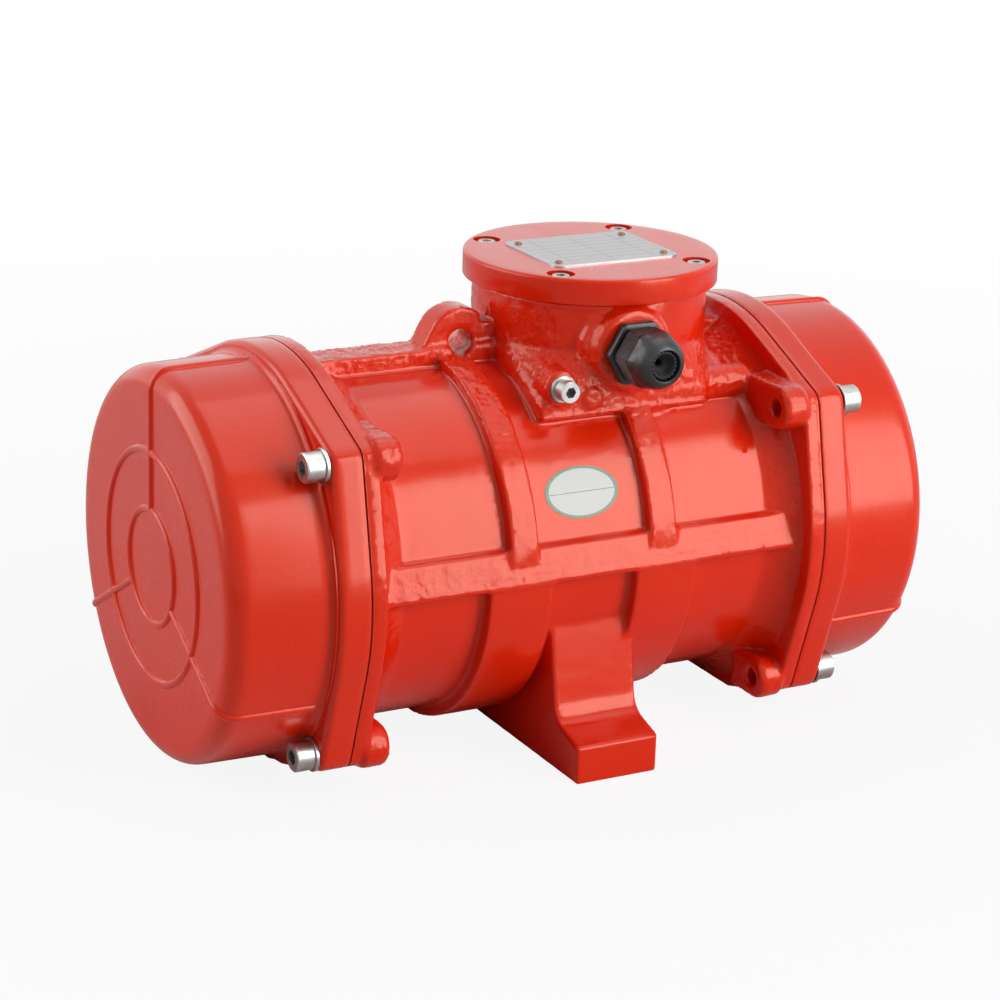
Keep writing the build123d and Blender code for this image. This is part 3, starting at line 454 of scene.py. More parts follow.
class Tree:
    """A geometry node tree under construction."""

    def __init__(self, name):
        self.group = bpy.data.node_groups.new(name, "GeometryNodeTree")
        self.group.interface.new_socket("Points", in_out="INPUT", socket_type="NodeSocketGeometry")
        self.group.interface.new_socket("Pieces", in_out="OUTPUT", socket_type="NodeSocketGeometry")
        self.inputs = self.group.nodes.new("NodeGroupInput")
        self.column = 0

    def add_input(self, name, kind, default=None):
        socket = self.group.interface.new_socket(name, in_out="INPUT", socket_type="NodeSocket" + kind)
        if default is not None:
            socket.default_value = default
        return self.inputs.outputs[name]

    def node(self, kind, links=None, **settings):
        node = self.group.nodes.new(kind)
        self.column += 1
        node.location = (self.column * 180, 0)
        for key, value in settings.items():
            setattr(node, key, value)
        for key, value in (links or {}).items():
            self.connect(node.inputs[key], value)
        return node

    def connect(self, socket, value):
        if isinstance(value, bpy.types.NodeSocket):
            self.group.links.new(value, socket)
        else:
            socket.default_value = value

    def calculate(self, operation, a, b=0.0):
        node = self.node("ShaderNodeMath", operation=operation)
        self.connect(node.inputs[0], a)
        self.connect(node.inputs[1], b)
        return node.outputs[0]

    def upward(self, height):
        return self.node("ShaderNodeCombineXYZ", {"Z": height}).outputs[0]

    def moved(self, geometry, offset):
        return self.node("GeometryNodeTransform", {"Geometry": geometry, "Translation": offset}).outputs[0]

    def finish(self, pieces, material):
        real = self.node("GeometryNodeRealizeInstances", {"Geometry": pieces})
        painted = self.node("GeometryNodeSetMaterial", {"Geometry": real.outputs[0], "Material": material})
        output = self.group.nodes.new("NodeGroupOutput")
        self.group.links.new(painted.outputs[0], output.inputs[0])
        return self.group


def on_points(tree, piece, axis):
    """Puts a piece on every point with its Z along an axis."""
    turn = tree.node("FunctionNodeAlignRotationToVector", {"Vector": axis}, axis="Z")
    return tree.node("GeometryNodeInstanceOnPoints", {
        "Points": tree.inputs.outputs["Points"], "Instance": piece, "Rotation": turn.outputs[0]}).outputs[0]


def screw_tree():
    """Socket screws with chamfered heads, their seats on the points."""
    tree = Tree("Socket Screws")
    axis = tree.add_input("Axis", "Vector", (0, 0, 1))
    head = tree.add_input("Head Radius", "Float", 6.4 * MM)
    height = tree.add_input("Head Height", "Float", 8 * MM)
    bevel = tree.add_input("Chamfer", "Float", 0.5 * MM)
    shank = tree.add_input("Shank Radius", "Float", 4 * MM)
    shank_length = tree.add_input("Shank Length", "Float", 25 * MM)
    socket = tree.add_input("Socket Radius", "Float", 3.4 * MM)
    socket_depth = tree.add_input("Socket Depth", "Float", 4.4 * MM)
    material = tree.add_input("Material", "Material")
    wall = tree.calculate("SUBTRACT", height, bevel)
    lower = tree.node("GeometryNodeMeshCone", {
        "Vertices": 64, "Radius Top": head, "Radius Bottom": tree.calculate("SUBTRACT", head, 0.2 * MM),
        "Depth": 0.2 * MM})
    side = tree.node("GeometryNodeMeshCone", {
        "Vertices": 64, "Radius Top": head, "Radius Bottom": head,
        "Depth": tree.calculate("SUBTRACT", wall, 0.2 * MM)})
    top = tree.node("GeometryNodeMeshCone", {
        "Vertices": 64, "Radius Top": tree.calculate("SUBTRACT", head, bevel), "Radius Bottom": head,
        "Depth": bevel})
    stem = tree.node("GeometryNodeMeshCylinder", {"Vertices": 32, "Radius": shank, "Depth": shank_length})
    stem_up = tree.upward(tree.calculate("MULTIPLY", shank_length, -0.4999))
    stack = tree.node("GeometryNodeMeshBoolean", operation="UNION")
    tree.connect(stack.inputs["Mesh 2"], lower.outputs[0])
    tree.group.links.new(tree.moved(side.outputs[0], (0, 0, 0.2 * MM)), stack.inputs["Mesh 2"])
    tree.group.links.new(tree.moved(top.outputs[0], tree.upward(wall)), stack.inputs["Mesh 2"])
    tree.group.links.new(tree.moved(stem.outputs[0], stem_up), stack.inputs["Mesh 2"])
    key = tree.node("GeometryNodeMeshCylinder", {"Vertices": 6, "Radius": socket, "Depth": height})
    key_up = tree.upward(tree.calculate("SUBTRACT", tree.calculate("MULTIPLY", height, 1.5), socket_depth))
    opened = tree.node("GeometryNodeMeshBoolean", {"Mesh 1": stack.outputs[0]}, operation="DIFFERENCE")
    tree.connect(opened.inputs["Mesh 2"], tree.moved(key.outputs[0], key_up))
    return tree.finish(on_points(tree, opened.outputs[0], axis), material)


def washer_tree():
    """Flat washers with rounded edges, lying on the points."""
    tree = Tree("Washers")
    axis = tree.add_input("Axis", "Vector", (0, 0, 1))
    outer = tree.add_input("Outer Radius", "Float", 8 * MM)
    inner = tree.add_input("Inner Radius", "Float", 4.2 * MM)
    thickness = tree.add_input("Thickness", "Float", 1.6 * MM)
    material = tree.add_input("Material", "Material")
    edge = 0.25 * MM
    low = tree.node("GeometryNodeMeshCone", {
        "Vertices": 64, "Radius Top": outer, "Radius Bottom": tree.calculate("SUBTRACT", outer, edge), "Depth": edge})
    middle = tree.node("GeometryNodeMeshCone", {
        "Vertices": 64, "Radius Top": outer, "Radius Bottom": outer,
        "Depth": tree.calculate("SUBTRACT", thickness, 2 * edge)})
    high = tree.node("GeometryNodeMeshCone", {
        "Vertices": 64, "Radius Top": tree.calculate("SUBTRACT", outer, edge), "Radius Bottom": outer, "Depth": edge})
    disc = tree.node("GeometryNodeMeshBoolean", operation="UNION")
    tree.connect(disc.inputs["Mesh 2"], low.outputs[0])
    tree.group.links.new(tree.moved(middle.outputs[0], (0, 0, edge)), disc.inputs["Mesh 2"])
    lift = tree.upward(tree.calculate("SUBTRACT", thickness, edge))
    tree.group.links.new(tree.moved(high.outputs[0], lift), disc.inputs["Mesh 2"])
    hole = tree.node("GeometryNodeMeshCylinder", {
        "Vertices": 48, "Radius": inner, "Depth": tree.calculate("MULTIPLY", thickness, 4.0)})
    ring = tree.node("GeometryNodeMeshBoolean", {"Mesh 1": disc.outputs[0]}, operation="DIFFERENCE")
    tree.connect(ring.inputs["Mesh 2"], hole.outputs[0])
    return tree.finish(on_points(tree, ring.outputs[0], axis), material)


def rivet_tree():
    """Domed rivets with a short stem, standing on the points."""
    tree = Tree("Rivets")
    radius = tree.add_input("Radius", "Float", 1.7 * MM)
    height = tree.add_input("Height", "Float", 0.9 * MM)
    stem = tree.add_input("Stem Length", "Float", 0.8 * MM)
    material = tree.add_input("Material", "Material")
    ball = tree.node("GeometryNodeMeshUVSphere", {"Segments": 32, "Rings": 16, "Radius": radius})
    size = tree.node("ShaderNodeCombineXYZ", {"X": 1.0, "Y": 1.0, "Z": tree.calculate("DIVIDE", height, radius)})
    flat = tree.node("GeometryNodeTransform", {"Geometry": ball.outputs[0], "Scale": size.outputs[0]})
    box = tree.node("GeometryNodeMeshCube", {"Size": (0.02, 0.02, 0.02)})
    dome = tree.node("GeometryNodeMeshBoolean", {"Mesh 1": flat.outputs[0]}, operation="DIFFERENCE")
    tree.connect(dome.inputs["Mesh 2"], tree.moved(box.outputs[0], (0, 0, -0.01)))
    pin = tree.node("GeometryNodeMeshCylinder", {
        "Vertices": 16, "Radius": tree.calculate("MULTIPLY", radius, 0.58), "Depth": stem})
    down = tree.upward(tree.calculate("MULTIPLY", stem, -0.48))
    whole = tree.node("GeometryNodeMeshBoolean", operation="UNION")
    tree.connect(whole.inputs["Mesh 2"], dome.outputs[0])
    tree.group.links.new(tree.moved(pin.outputs[0], down), whole.inputs["Mesh 2"])
    return tree.finish(on_points(tree, whole.outputs[0], (0, 0, 1)), material)


def ridge_tree():
    """Ridges that lie along one direction, spread evenly over a closed outline of points."""
    tree = Tree("Grip Ridges")
    count = tree.add_input("Count", "Int", 84)
    size = tree.add_input("Ridge Radius", "Float", 0.3 * MM)
    ridge_length = tree.add_input("Ridge Length", "Float", 7 * MM)
    axis = tree.add_input("Axis", "Vector", (0, -1, 0))
    material = tree.add_input("Material", "Material")
    outline = tree.node("GeometryNodeMeshToCurve", {"Mesh": tree.inputs.outputs["Points"]})
    spread = tree.node("GeometryNodeResampleCurve", {"Curve": outline.outputs[0], "Count": count})
    points = tree.node("GeometryNodeCurveToPoints", {"Curve": spread.outputs[0]}, mode="EVALUATED")
    rod = tree.node("GeometryNodeMeshCylinder", {"Vertices": 6, "Radius": size, "Depth": ridge_length})
    turn = tree.node("FunctionNodeAlignRotationToVector", {"Vector": axis}, axis="Z")
    ridges = tree.node("GeometryNodeInstanceOnPoints", {
        "Points": points.outputs[0], "Instance": rod.outputs[0], "Rotation": turn.outputs[0]})
    return tree.finish(ridges.outputs[0], material)


def socket_identifier(group, name):
    for item in group.interface.items_tree:
        if item.item_type == "SOCKET" and item.in_out == "INPUT" and item.name == name:
            return item.identifier
    raise KeyError(name)


def grown(name, points, edges, group, values):
    """Plain mesh that a node tree grows on points."""
    mesh = bpy.data.meshes.new(name)
    mesh.from_pydata([tuple(point) for point in points], edges, [])
    obj = add_object(name, mesh)
    modifier = obj.modifiers.new("Grow", "NODES")
    modifier.node_group = group
    for label, value in values.items():
        modifier[socket_identifier(group, label)] = value
    return bake_modifiers(obj)


# Materials


class Finish:
    """A material under construction, whose patterns read Object coordinates."""

    def __init__(self, name, base, roughness, metallic=0.0):
        self.material = bpy.data.materials.new(name)
        self.material.use_nodes = True
        self.tree = self.material.node_tree
        self.shader = self.tree.nodes["Principled BSDF"]
        self.set("Base Color", (*base, 1.0))
        self.set("Roughness", roughness)
        self.set("Metallic", metallic)
        self.place = self.add("ShaderNodeTexCoord").outputs["Object"]
        self.normal = None

    def add(self, kind, **settings):
        node = self.tree.nodes.new(kind)
        for key, value in settings.items():
            setattr(node, key, value)
        return node

    def set(self, socket, value):
        self.shader.inputs[socket].default_value = value

    def link(self, source, target):
        self.tree.links.new(source, target)

    def noise(self, size, detail=2.0, roughness=0.5, stretch=(1, 1, 1)):
        """Noise whose features are about one size apart, in metres."""
        mapping = self.add("ShaderNodeMapping")
        mapping.inputs["Scale"].default_value = stretch
        self.link(self.place, mapping.inputs["Vector"])
        texture = self.add("ShaderNodeTexNoise")
        texture.inputs["Scale"].default_value = 1.0 / size
        texture.inputs["Detail"].default_value = detail
        texture.inputs["Roughness"].default_value = roughness
        self.link(mapping.outputs[0], texture.inputs["Vector"])
        return texture.outputs["Fac"]

    def ramp(self, value, low, high, low_value=0.0, high_value=1.0):
        node = self.add("ShaderNodeMapRange")
        for socket, number in zip(("From Min", "From Max", "To Min", "To Max"), (low, high, low_value, high_value)):
            node.inputs[socket].default_value = number
        self.link(value, node.inputs["Value"])
        return node.outputs["Result"]

    def attribute(self, name):
        return self.add("ShaderNodeAttribute", attribute_name=name).outputs["Fac"]

    def multiply(self, a, b):
        node = self.add("ShaderNodeMath", operation="MULTIPLY")
        self.link(a, node.inputs[0])
        if isinstance(b, bpy.types.NodeSocket):
            self.link(b, node.inputs[1])
        else:
            node.inputs[1].default_value = b
        return node.outputs[0]

    def blend(self, factor, first, second):
        node = self.add("ShaderNodeMix", data_type="RGBA")
        self.link(factor, node.inputs["Factor"])
        for socket, value in ((node.inputs[6], first), (node.inputs[7], second)):
            if isinstance(value, bpy.types.NodeSocket):
                self.link(value, socket)
            else:
                socket.default_value = (*value, 1.0)
        return node.outputs[2]

    def drive(self, socket, source):
        self.link(source, self.shader.inputs[socket])

    def bump(self, height, distance, strength=1.0):
        """Adds a layer of bump, its height in metres."""
        node = self.add("ShaderNodeBump")
        node.inputs["Distance"].default_value = distance
        if isinstance(strength, bpy.types.NodeSocket):
            self.link(strength, node.inputs["Strength"])
        else:
            node.inputs["Strength"].default_value = strength
        self.link(height, node.inputs["Height"])
        if self.normal is not None:
            self.link(self.normal, node.inputs["Normal"])
        self.normal = node.outputs["Normal"]
        self.drive("Normal", self.normal)


def enamel(name, tones, cast):
    """Glossy sprayed enamel. On cast skin it follows the pits, and its colour is darkened in the hollows between them
    as painted shade.
    """
    finish = Finish(name, tones.enamel, 0.2)
    finish.set("Specular IOR Level", 0.36)
    finish.set("Specular Tint", (1.0, 0.5, 0.28, 1.0))
    finish.set("Coat Weight", 0.7)
    finish.set("Coat Roughness", 0.15)
    finish.set("Coat IOR", 1.33)
    patch = finish.ramp(finish.noise(0.045, 3.0), 0.35, 0.65)
    tone = finish.blend(finish.multiply(patch, 0.16), tones.enamel, tones.enamel_patch_and_shade)
    if cast:
        rough = finish.attribute("cast_skin")
        hollow = finish.attribute("hollow")
        # Painted shade: the hollows of the cast skin are darkened toward the darker enamel tone.
        tone = finish.blend(finish.multiply(hollow, 0.85), tone, tones.enamel_patch_and_shade)
        finish.bump(finish.noise(0.0013, 3.0, 0.6), 0.34 * MM, rough)
    finish.drive("Base Color", tone)
    finish.bump(finish.noise(0.0016, 2.0), 0.018 * MM)
    finish.bump(finish.noise(0.011, 2.0), 0.07 * MM)
    sheen = 0.17 if cast else 0.25
    finish.drive("Roughness", finish.ramp(finish.noise(0.02, 3.0), 0.3, 0.7, sheen, sheen + 0.08))
    return finish.material


def plated_steel(name, tones):
    """Zinc plating: soft grey with faint cloudy marks and fine scratches."""
    finish = Finish(name, tones.zinc, 0.34, 1.0)
    cloud = finish.ramp(finish.noise(0.004, 4.0), 0.35, 0.7)
    finish.drive("Base Color", finish.blend(cloud, tones.zinc, tuple(0.78 * part for part in tones.zinc)))
    finish.drive("Roughness", finish.ramp(finish.noise(0.0025, 3.0), 0.3, 0.7, 0.28, 0.46))
    finish.bump(finish.noise(0.0012, 3.0), 0.04 * MM)
    return finish.material


def turned_metal(name, tone, roughness, grain=0.0006):
    """Turned or ground metal with fine rings across the shaft axis."""
    finish = Finish(name, tone, roughness, 1.0)
    rings = finish.noise(grain, 2.0, stretch=(1, 0.03, 0.03))
    finish.bump(rings, 0.02 * MM)
    finish.drive("Base Color", finish.blend(finish.noise(0.012, 3.0), tone, tuple(0.8 * part for part in tone)))
    return finish.material


def rough_iron(name, tone):
    """Grainy iron or flame-cut steel, darker in patches."""
    finish = Finish(name, tone, 0.55, 0.6)
    finish.drive("Base Color", finish.blend(finish.noise(0.006, 4.0), tone, tuple(0.6 * part for part in tone)))
    finish.bump(finish.noise(0.0015, 4.0), 0.15 * MM)
    return finish.material


def laminated_steel(name, tone):
    """Stack of thin sheets seen from the side."""
    finish = Finish(name, tone, 0.5, 0.9)
    wave = finish.add("ShaderNodeTexWave", bands_direction="X")
    wave.inputs["Scale"].default_value = 1.0 / (2 * math.pi * 0.0005)
    finish.link(finish.place, wave.inputs["Vector"])
    finish.bump(wave.outputs["Fac"], 0.05 * MM)
    finish.drive("Base Color", finish.blend(finish.noise(0.01, 3.0), tone, tuple(0.5 * part for part in tone)))
    return finish.material


def wound_copper(name, tone):
    """Varnished wires running along the motor."""
    finish = Finish(name, tone, 0.32, 0.7)
    finish.bump(finish.noise(0.0008, 1.0, stretch=(0.05, 1, 1)), 0.3 * MM)
    finish.set("Coat Weight", 0.5)
    finish.drive("Base Color", finish.blend(finish.noise(0.005, 2.0), tone, tuple(0.5 * part for part in tone)))
    return finish.material


def moulded_plastic(name, tone, roughness):
    """Moulded plastic with a faint grain and slightly uneven gloss."""
    finish = Finish(name, tone, roughness)
    lighter = tuple(min(1.0, 1.9 * part) for part in tone)
    finish.drive("Base Color", finish.blend(finish.noise(0.004, 3.0), tone, lighter))
    finish.drive("Roughness", finish.ramp(finish.noise(0.003, 3.0), 0.3, 0.7, roughness - 0.06, roughness + 0.1))
    finish.bump(finish.noise(0.0005, 2.0), 0.03 * MM)
    return finish.material


def jointing(name, tone):
    """Fibrous sheet for gaskets."""
    finish = Finish(name, tone, 0.7)
    finish.drive("Base Color", finish.blend(finish.noise(0.003, 3.0), tone, tuple(2.2 * part for part in tone)))
    finish.bump(finish.noise(0.0008, 3.0), 0.1 * MM)
    return finish.material


def rule_lines(finish, axis, places, half_width):
    """Mask of straight etched lines at places along one axis, in metres."""
    split = finish.add("ShaderNodeSeparateXYZ")
    finish.link(finish.place, split.inputs[0])
    total = None
    for place in places:
        apart = finish.add("ShaderNodeMath", operation="SUBTRACT")
        finish.link(split.outputs[axis], apart.inputs[0])
        apart.inputs[1].default_value = place
        size = finish.add("ShaderNodeMath", operation="ABSOLUTE")
        finish.link(apart.outputs[0], size.inputs[0])
        near = finish.add("ShaderNodeMath", operation="LESS_THAN")
        finish.link(size.outputs[0], near.inputs[0])
        near.inputs[1].default_value = half_width
        if total is None:
            total = near.outputs[0]
            continue
        both = finish.add("ShaderNodeMath", operation="MAXIMUM")
        finish.link(total, both.inputs[0])
        finish.link(near.outputs[0], both.inputs[1])
        total = both.outputs[0]
    return total


def plate_finish(name, tones, box):
    """Blank aluminium plate with a fine brushed grain and an etched ruled table."""
    finish = Finish(name, tones.plate, 0.36, 0.85)
    grain = finish.noise(0.0006, 2.0, stretch=(0.04, 1, 1))
    finish.bump(grain, 0.015 * MM)
    rows = [(row - 3) * 5.6 * MM for row in range(7)]
    columns = [box.x + offset * MM for offset in (-20.0, 0.0, 20.0)]
    lines = finish.add("ShaderNodeMath", operation="MAXIMUM")
    finish.link(rule_lines(finish, 1, rows, 0.16 * MM), lines.inputs[0])
    finish.link(rule_lines(finish, 0, columns, 0.16 * MM), lines.inputs[1])
    dark = tuple(0.42 * part for part in tones.plate)
    cloud = finish.blend(finish.noise(0.009, 3.0), tones.plate, tuple(0.9 * part for part in tones.plate))
    inside = finish.attribute("etched")
    finish.drive("Base Color", finish.blend(finish.multiply(lines.outputs[0], inside), cloud, dark))
    return finish.material


def sticker_finish(name, tones, middle):
    """Glossy paper whose green border follows the sticker's own outline, with a thin line across its middle."""
    finish = Finish(name, tones.paper, 0.32)
    lines = finish.add("ShaderNodeMath", operation="MAXIMUM")
    finish.link(finish.attribute("border"), lines.inputs[0])
    finish.link(rule_lines(finish, 2, [middle], 0.16 * MM), lines.inputs[1])
    border = lines.outputs[0]
    speck = finish.ramp(finish.noise(0.0009, 2.0), 0.35, 0.45)
    green = finish.blend(finish.multiply(speck, 0.9), tuple(1.6 * part for part in tones.border), tones.border)
    finish.drive("Base Color", finish.blend(border, tones.paper, green))
    finish.set("Coat Weight", 0.2)
    finish.bump(finish.noise(0.004, 2.0), 0.03 * MM)
    return finish.material


# Covers


def ear_places(cover):
    return [cover.upper_ear, math.pi - cover.lower_ear, math.pi + cover.lower_ear, 2 * math.pi - cover.upper_ear]


def bolt_points(cover, side, x):
    """Centres of the four cover screws at one end, at a distance from the motor's middle."""
    return [(side * x, -cover.bolt_circle * math.sin(turn), cover.shaft_height + cover.bolt_circle * math.cos(turn))
            for turn in ear_places(cover)]


def flange_outline(cover, turns):
    """Radius of the flange at each angle from the top: a circle, four ears and a flat below."""
    spread = math.acos((cover.flange_radius - cover.ear_radius) / cover.bolt_circle)
    touch = math.atan2(cover.ear_radius * math.sin(spread), cover.bolt_circle + cover.ear_radius * math.cos(spread))
    outline = np.full(len(turns), float(cover.flange_radius))
    for place in ear_places(cover):
        off = np.abs((turns - place + math.pi) % (2 * math.pi) - math.pi)
        side = off < spread
        outline[side] = np.maximum(outline[side], cover.flange_radius / np.cos(spread - off[side]))
        tip = off < touch
        reach = cover.bolt_circle * np.sin(off[tip])
        outline[tip] = cover.bolt_circle * np.cos(off[tip]) + np.sqrt(cover.ear_radius ** 2 - reach ** 2)
    low = np.cos(turns) < -0.5
    outline[low] = np.minimum(outline[low], cover.flat / -np.cos(turns[low]))
    return outline


def cover_turns(cover):
    """Angles around the cover, closer together where the three beads run."""
    plain = np.linspace(0, 2 * math.pi, cover.steps, endpoint=False)
    beads = np.concatenate([np.radians(place) + np.radians(np.linspace(-5, 5, 45)) for place in (0, 120, 240)])
    return np.unique(np.round(np.concatenate([plain, beads % (2 * math.pi)]), 6))


def cover_profile(cover):
    """Rows of the cup from the middle of its end face to its root: x, radius and outward direction."""
    flat_radius = cover.radius - cover.edge
    radii = [np.linspace(0.0015, flat_radius, 26)]
    for ring in (cover.inner_ring, cover.outer_ring):
        radii.append(ring + np.linspace(-0.6, 0.6, 15) * cover.bead_width)
    rows = [(cover.end, radius, 1.0, 0.0) for radius in np.unique(np.round(np.concatenate(radii), 6))]
    for turn in np.linspace(0, math.pi / 2, 11)[1:]:
        rows.append((cover.end - cover.edge * (1 - math.cos(turn)), flat_radius + cover.edge * math.sin(turn),
                     math.cos(turn), math.sin(turn)))
    band = cover.face + cover.step
    for part in np.linspace(0, 1, 13)[1:]:
        x = cover.end - cover.edge + part * (band + cover.root - cover.end + cover.edge)
        rows.append((x, cover.radius + cover.draft * part, 0.0, 1.0))
    root = cover.radius + cover.draft
    for turn in np.linspace(0, math.pi / 2, 6)[1:]:
        rows.append((band + cover.root * (1 - math.sin(turn)), root + cover.root * (1 - math.cos(turn)), 0.5, 0.5))
    return np.array(rows)


def bead_heights(cover, profile, turns):
    """Height of the raised rings and beads at each row and angle."""
    half = cover.bead_width / 2
    x, radius = profile[:, 0], profile[:, 1]
    on_face = (profile[:, 2] > 0.99).astype(float)
    height = np.zeros((len(profile), len(turns)))

    def back(distance):
        inside = np.clip(1 - (distance / half) ** 2, 0, 1)
        return cover.bead_height * inside ** 0.62

    for ring in (cover.inner_ring, cover.outer_ring):
        height = np.maximum(height, (back(np.abs(radius - ring)) * on_face)[:, None])
    fade = np.clip((x - cover.face - cover.step) / cover.root, 0, 1) * (radius >= cover.inner_ring)
    for place in (0, 120, 240):
        off = turns - math.radians(place)
        distance = np.abs(radius[:, None] * np.sin(off)[None, :])
        ahead = (np.cos(off) > 0)[None, :]
        height = np.maximum(height, back(distance) * ahead * fade[:, None])
    return height


def cover_mesh(cover, side, name):
    """Cover as closed rings of points, from the middle of its end face round to its inner face."""
    turns = cover_turns(cover)
    profile = cover_profile(cover)
    height = bead_heights(cover, profile, turns)
    outline = flange_outline(cover, turns)
    x = profile[:, 0][:, None] + height * profile[:, 2][:, None]
    radius = profile[:, 1][:, None] + height * profile[:, 3][:, None]
    radius = np.minimum(radius, outline[None, :] + 0.4 * MM)
    inner = np.minimum(cover.radius + cover.draft + cover.root, outline - 0.01 * MM)
    start = np.maximum(inner, outline - cover.rounding)
    rows_x, rows_r = [x], [radius]

    def add(row_x, row_r):
        rows_x.append(np.broadcast_to(row_x, outline.shape)[None, :])
        rows_r.append(np.broadcast_to(row_r, outline.shape)[None, :])

    for part in (0.0, 0.12, 0.4, 0.7, 1.0):
        add(cover.face, inner + part * (start - inner))
    for turn in np.linspace(0, math.pi / 2, 7)[1:]:
        add(cover.face - cover.rounding * (1 - math.cos(turn)), start + (outline - start) * math.sin(turn))
    edge = 0.25 * MM
    for row_x in np.linspace(cover.face - cover.rounding, cover.joint + edge, 5)[1:]:
        add(row_x, outline)
    add(cover.joint + 0.08 * MM, outline - 0.08 * MM)
    add(cover.joint, outline - edge)
    hollow = cover.radius - cover.wall
    add(cover.joint, np.full_like(outline, hollow))
    inner_end = cover.end - cover.wall
    for row_x in np.linspace(cover.joint, inner_end - cover.wall, 4)[1:]:
        add(row_x, np.full_like(outline, hollow))
    for turn in np.linspace(0, math.pi / 2, 5)[1:]:
        add(inner_end - cover.wall * (1 - math.sin(turn)),
            np.full_like(outline, hollow - cover.wall * (1 - math.cos(turn))))
    add(inner_end, np.full_like(outline, 0.002))
    x, radius = np.concatenate(rows_x), np.concatenate(rows_r)
    y, z = -radius * np.sin(turns), radius * np.cos(turns)
    for place in ear_places(cover):
        away = np.hypot(y + cover.bolt_circle * math.sin(place), z - cover.bolt_circle * math.cos(place))
        x = np.where((away < cover.spot) & (x > cover.face), cover.face, x)
    rings = np.stack([side * x, y, z + cover.shaft_height], axis=-1)
    ends = [(side * cover.end, 0, cover.shaft_height), (side * inner_end, 0, cover.shaft_height)]
    mesh = ring_mesh(name, rings, ends[0], ends[1], flip=side < 0)
    return outward(mesh)


class MOTOR_OT_covers(Operator):
    """Builds the two end covers with their rings, beads and eared flanges."""

    bl_idname = "motor.covers"
    bl_label = "Covers"

    def execute(self, context):
        settings = context.scene.motor
        finish = enamel("smooth enamel", settings.colour, cast=False)
        for side, end in ((1, "right"), (-1, "left")):
            name = "cover_skin_" + end
            obj = add_object(name, cover_mesh(settings.cover, side, name))
            holes = [cylinder_object("hole", (point[0] - side * 30 * MM, point[1], point[2]), (side, 0, 0),
                                     settings.cover.hole, 40 * MM, 48)
                     for point in bolt_points(settings.cover, side, settings.cover.face)]
            cut(obj, joined("holes", holes))
            finish_piece(obj, finish, "orange_enamel", "frame", "cover_" + end, sharp_angle=42.0)
        return {"FINISHED"}


# Housing


def cast_weights(places, cover, box):
    """How rough the cast skin is at each place, from 0 for smooth to 1."""
    x, y, z = places.T
    above = z - cover.shaft_height
    across = np.hypot(y, above)
    tower = np.hypot(x - box.x, y)
    weight = np.full(len(places), 0.10)
    weight[(across > 79.5 * MM) & (above > -5 * MM)] = 0.3
    near_box = (x > box.left - 40 * MM) & (x < box.right + 20 * MM) & (above > box.low - 3 * MM)
    weight[(across > 78.5 * MM) & near_box] = 1.0
    weight[(np.abs(y) < 14 * MM) & (above > 78.5 * MM)] = 1.0
    weight[(above > 86 * MM) & (tower > 53 * MM) & (np.abs(x) < 91 * MM)] = 0.3
    weight[(tower < 54.5 * MM) & (above > 84 * MM)] = 0.3
    weight[(tower < 54.5 * MM) & (above > 84 * MM) & (x < box.x - 32 * MM)] = 0.7
    weight[z > box.top - 4 * MM] = 0.1
    weight[(np.abs(x) > 91 * MM) & (above > 0)] = 0.75
    weight[(np.abs(x) > 91 * MM) & (above <= 0)] = 0.5
    weight[np.abs(x) > 102.5 * MM] = 0.2
    side = (across > 78.5 * MM) & (above > -2 * MM) & (above < 17 * MM) & (np.abs(x) < 102.5 * MM)
    weight[side] = 0.36
    return weight


def point_values(mesh, name):
    """Rows of three numbers that the mesh holds for each point, such as co or normal."""
    values = np.empty(len(mesh.vertices) * 3)
    mesh.vertices.foreach_get(name, values)
    return values.reshape(-1, 3)


def roughen(obj, casting, cover, box):
    """Moves the skin in and out as a sand mould leaves it."""
    mesh = obj.data
    places, normals = point_values(mesh, "co"), point_values(mesh, "normal")
    weights = spread_values(mesh, cast_weights(places, cover, box))
    shift = np.zeros(len(places))
    for i in np.nonzero(weights > 0.02)[0]:
        where = Vector(places[i])
        lump = noise.noise(where / casting.lump_size)
        grain = noise.turbulence(where / casting.pit_size, 2, False)
        shift[i] = weights[i] * (casting.lumps * lump - casting.pits * (grain - 0.5))
    moved = np.clip(places + normals * shift[:, None], CAD_BOX[0], CAD_BOX[1])
    mesh.vertices.foreach_set("co", moved.reshape(-1))
    mesh.update()


def thin_out(obj, most):
    """Collapses the flattest places until the mesh has no more triangles than that."""
    count = sum(len(face.vertices) - 2 for face in obj.data.polygons)
    if count > most:
        thin = obj.modifiers.new("Thin", "DECIMATE")
        thin.ratio = most / count
        bake_modifiers(obj)


def note_roughness(obj, cover, box):
    """Stores how rough the cast skin is at each point, for its enamel."""
    weights = cast_weights(point_values(obj.data, "co"), cover, box)
    rough = obj.data.attributes.new("cast_skin", "FLOAT", "POINT")
    rough.data.foreach_set("value", weights.astype(np.float32))


def note_hollows(obj):
    """Stores how hollow the surface is at each point, so that the enamel colour can be darkened there as painted shade.
    """
    mesh = obj.data
    shape = bmesh.new()
    shape.from_mesh(mesh)
    shape.normal_update()
    values = np.zeros(len(shape.verts), dtype=np.float32)
    for vert in shape.verts:
        near = [edge.other_vert(vert).co for edge in vert.link_edges]
        if near:
            middle = sum(near, Vector()) / len(near)
            reach = max((middle - vert.co).length, (near[0] - vert.co).length)
            values[vert.index] = (middle - vert.co).dot(vert.normal) / reach
    shape.free()
    for _ in range(2):
        values = spread_values(mesh, values)
    hollow = mesh.attributes.new("hollow", "FLOAT", "POINT")
    hollow.data.foreach_set("value", np.clip(values * 5.0, 0, 1).astype(np.float32))


